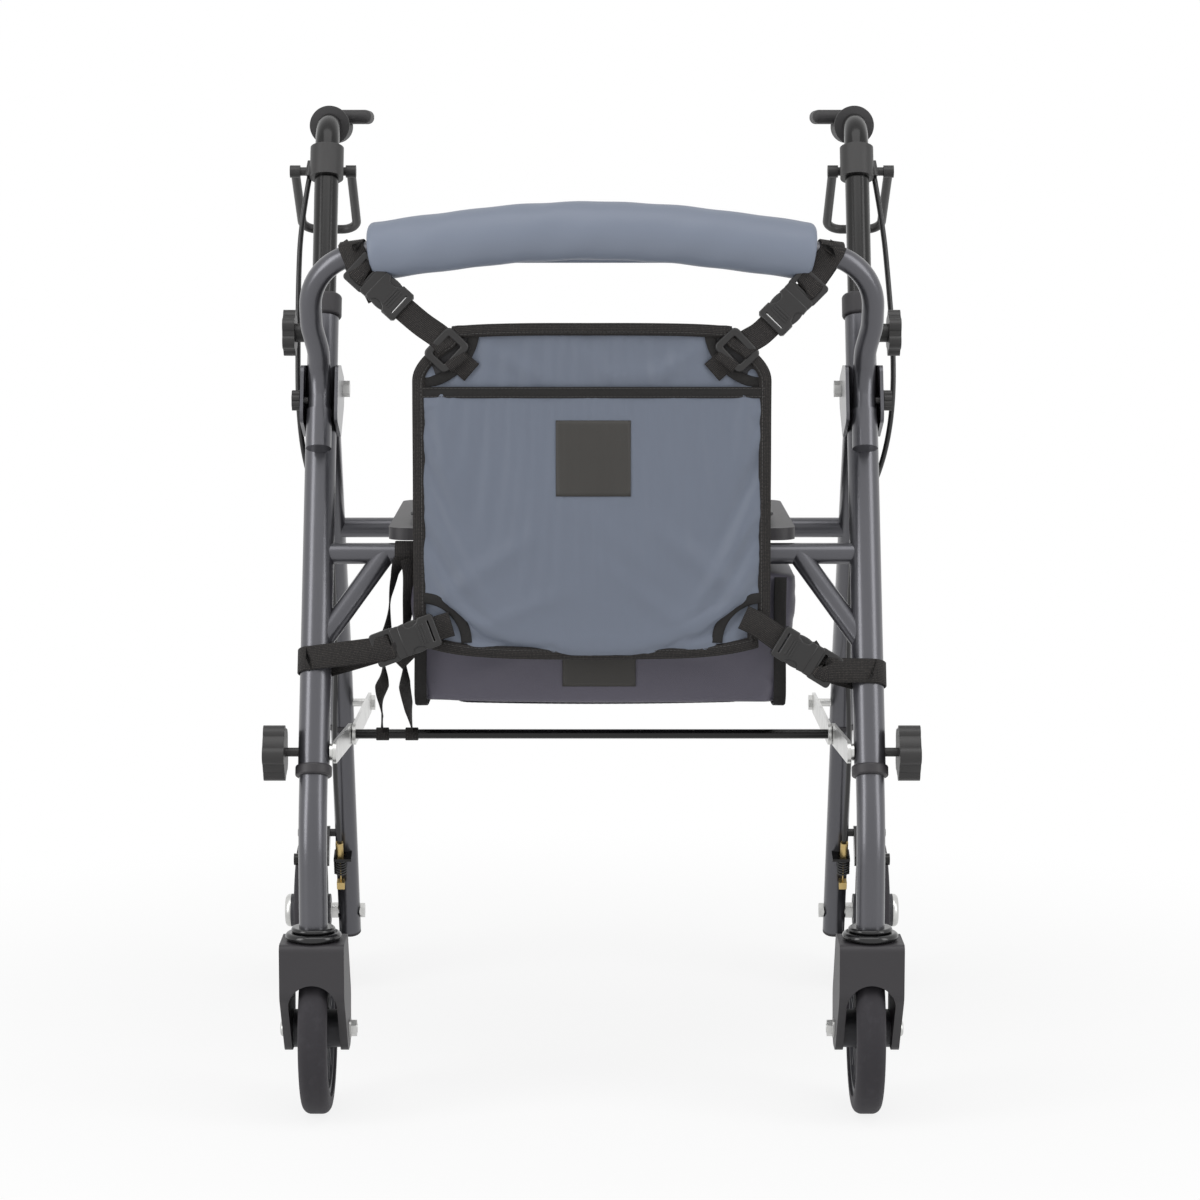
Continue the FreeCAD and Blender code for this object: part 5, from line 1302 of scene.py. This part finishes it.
bag_mesh = capped("under_seat_bag", bag_rows)
bag_held = [v.index for v in bag_mesh.vertices if v.co.z > bag_head - 8 * mm]
bag_mesh = settled("under_seat_bag", bag_mesh, bag_held, 18, 6 * mm, 0.8, 1.0, -0.01, 12, 0.3)
for start, end, width, depth in (
        ((-0.14, 0.372), (-0.05, 0.41), 8, 2.0), ((0.15, 0.40), (0.06, 0.43), 9, 2.4),
        ((0.16, 0.42), (0.03, 0.405), 7, 1.8), ((-0.12, 0.42), (0.0, 0.40), 10, 1.4)):
    crease([v for v in bag_mesh.vertices if v.co.y < bag_front + 25 * mm], start, end,
           width * mm, depth * mm)
for v in bag_mesh.vertices:
    sag = 3.5 * mm * math.cos(v.co.x / bag_right * 1.4)
    near_foot = min(1, max(0, 1 - (v.co.z - bag_foot) / (30 * mm)))
    v.co.z = max(v.co.z - sag * near_foot, bag_foot - sag)
bag_nylon = satin_nylon("bag_nylon", shade(86, 83, 96), 0.44)
under_bag = place("hanging_bag", smoothed(bag_mesh), "front_frame", "bag_cloth", bag_nylon)
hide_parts("under_seat_bag")


def squashed(piece):
    """Gives the piece its own copy of its mesh."""
    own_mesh(piece)


squashed(under_bag)
bag_spots = [tuple(v.co) for v in under_bag.data.vertices if v.co.y < bag_front + 20 * mm]
bag_patch = patch_mesh("bag_patch", -26.5 * mm, 39.5 * mm, 378 * mm, 444 * mm, bag_spots, 0.8 * mm)
squashed(place("bag_patch", bag_patch, "front_frame", "bag_cloth", patch_rubber))
tape_route = (
    (4, bag_front - 1.5 * mm, 478, (0, -1, 0)), (4.5, bag_front - 1.8 * mm, 430, (0, -1, 0)),
    (4, bag_front - 1.4 * mm, 385, (0, -1, 0)), (4, bag_front + 1.0 * mm, 368, (0, -1, -0.4)),
    (5, bag_front + 8 * mm, 361.5, (0, -0.6, -1)), (5, (bag_front + bag_back) / 2, 359.5, (0, 0, -1)),
    (5, bag_back - 8 * mm, 361.5, (0, 0.6, -1)), (4, bag_back - 1 * mm, 370, (0, 1, -0.4)),
    (4, bag_back + 1.2 * mm, 400, (0, 1, 0)), (4, bag_back + 1.2 * mm, 478, (0, 1, 0)))
for name, at_x, side in (("left", bag_left - 1 * mm, -1), ("right", bag_right + 1 * mm, 1)):
    seam_line = [(at_x - side * inset * mm, y, z * mm) for inset, y, z, _ in tape_route]
    squashed(strap("bag_tape_" + name, "front_frame", seam_line, [row[3] for row in tape_route],
                   11 * mm, 2.2 * mm, tape_black, 5 * mm))


def turned_round(centre, radius, first, sweep, steps):
    """Points and facings round a bar that lies along X, from first through sweep, in degrees."""
    points, facings = [], []
    for step in range(steps + 1):
        angle = math.radians(first + sweep * step / steps)
        facing = Vector((0, -math.cos(angle), math.sin(angle)))
        points.append(centre + facing * radius)
        facings.append(facing)
    return points, facings


crossbar = Vector((0, -195.5, 498)) * mm
loop_across = 90 * mm
skipped = 8
for number, across in enumerate((-loop_across, loop_across)):
    centre = crossbar + Vector((across, 0, 0))
    points, facings = turned_round(centre, 10.5 * mm, -100, 300, 24)
    points = [centre + Vector((0, -11.5, -40)) * mm, centre + Vector((0, -11, -18)) * mm
              ] + points[skipped:] + [centre + Vector((0, 5, -15)) * mm]
    facings = [front, front] + facings[skipped:] + [Vector((0, 0.6, -0.8))]
    strap("bag_loop_%d" % number, "front_frame", points, facings, 38 * mm, 1.6 * mm)


# The fold strap: a narrow webbing loop round the front crossbar whose two legs twist on their way
# down to the fold rod, where each ends in a sewn loop. Pulling it up folds the walker.
pull_across = Vector((-168, 0, 0)) * mm
leg_facts = {
    "left": ([(-171, -206.5, 494), (-177, -200, 478), (-182, -192, 452), (-187, -168, 420),
              (-191, -142, 392), (-194, -118, 366), (-195.5, -98, 342), (-196.5, -79, 327),
              (-196.5, -72, 320.5)], (20, 60, 86, 30, 84, 10, 84, 70, 88)),
    "right": ([(-165, -206.5, 494), (-163, -202, 478), (-165, -192, 450), (-169, -170, 420),
               (-172, -145, 394), (-173, -120, 368), (-170.5, -98, 344), (-169, -79, 327),
               (-169, -72, 320.5)], (5, 10, 35, 60, 82, 25, 40, 78, 88)),
}
for name, (route, twist) in leg_facts.items():
    points = [Vector(point) * mm for point in route]
    facings = [Vector((math.sin(math.radians(angle)), -math.cos(math.radians(angle)), 0.2))
               for angle in twist]
    made = strap("pull_leg_" + name, None, points, facings, 13 * mm, 1.3 * mm)
    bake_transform(made)
    if name == "left":
        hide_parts("pull_strap")
    loop_points, loop_faces = turned_round(points[-1] + Vector((0, 0, -6.5)) * mm, 5.4 * mm,
                                           -90, 360, 28)
    strap("pull_loop_" + name, "front_fold_link", loop_points, loop_faces, 12 * mm, 1.4 * mm)
points, facings = turned_round(crossbar + pull_across, 10.6 * mm, -70, 320, 24)
strap("pull_top", "front_frame", points, facings, 17 * mm, 1.5 * mm)


# Brake cables: a steel wire in a smooth black jacket, stiff enough to hold one long bow from the
# brake housing down the outside of the front tube, across to the rear leg and its adjuster.
cable_diameter = 5 * mm
right_route = [
    (262, -46, 834), (270, -54, 789.9), (274.9, -65.8, 735), (278.8, -78.1, 680.1), (279, -82, 622),
    (272, -66, 570), (257, -32, 525), (249, 10, 478), (250, 48, 430), (252, 84, 385), (254, 115, 338),
    (257, 136, 290), (258.5, 155, 243), (258.3, 175, 203), (258, 190.9, 176.5), (258, 198.4, 158)]
left_bow = {2: 3, 3: 7, 4: 7, 5: 4}
left_route = [(-x + left_bow.get(number, 0), y, z) for number, (x, y, z) in enumerate(right_route)]


def cable_line(name, route):
    """The points of the smooth line that a route's control points draw."""
    line = bpy.data.curves.new(name, "CURVE")
    line.dimensions = "3D"
    spline = line.splines.new("NURBS")
    spline.points.add(len(route) - 1)
    for point, (x, y, z) in zip(spline.points, route):
        point.co = (x * mm, y * mm, z * mm, 1)
    spline.order_u = 3
    spline.use_endpoint_u = True
    spline.resolution_u = 10
    return [v.co.copy() for v in baked(linked(name, line)).vertices]


def hose(name, line, radius, around=12):
    """A round tube along a line, closed at both ends."""
    rows = []
    side = Vector((1, 0, 0))
    for number, point in enumerate(line):
        along = (line[min(number + 1, len(line) - 1)] - line[max(number - 1, 0)]).normalized()
        side = (side - along * side.dot(along)).normalized()
        up = along.cross(side)
        rows.append([point + (side * math.cos(math.tau * step / around)
                              + up * math.sin(math.tau * step / around)) * radius
                     for step in range(around)])
    mesh = skin(name, rows, False, True)
    outward(mesh, fill=True)
    return mesh


jacket = moulded("cable_jacket", shade(24, 24, 25), 0.3, 0.00002)
parting_height = 560 * mm
for side, route in (("left", left_route), ("right", right_route)):
    line = cable_line("cable_" + side, route)
    parting = min(range(len(line)), key=lambda number: abs(line[number].z - parting_height))
    for level, part, bodies in (("upper", line[:parting + 1], ("handle_" + side, "front_frame")),
                                ("lower", line[parting:], ("front_frame", "rear_frame"))):
        name = "brake_cable_%s_%s" % (level, side)
        made = place(name, hose(name, part, cable_diameter / 2), None, "cable_jacket", jacket)
        length = sum((after - before).length for before, after in zip(part, part[1:]))
        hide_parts("brake_cable_" + side)
        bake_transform(made)
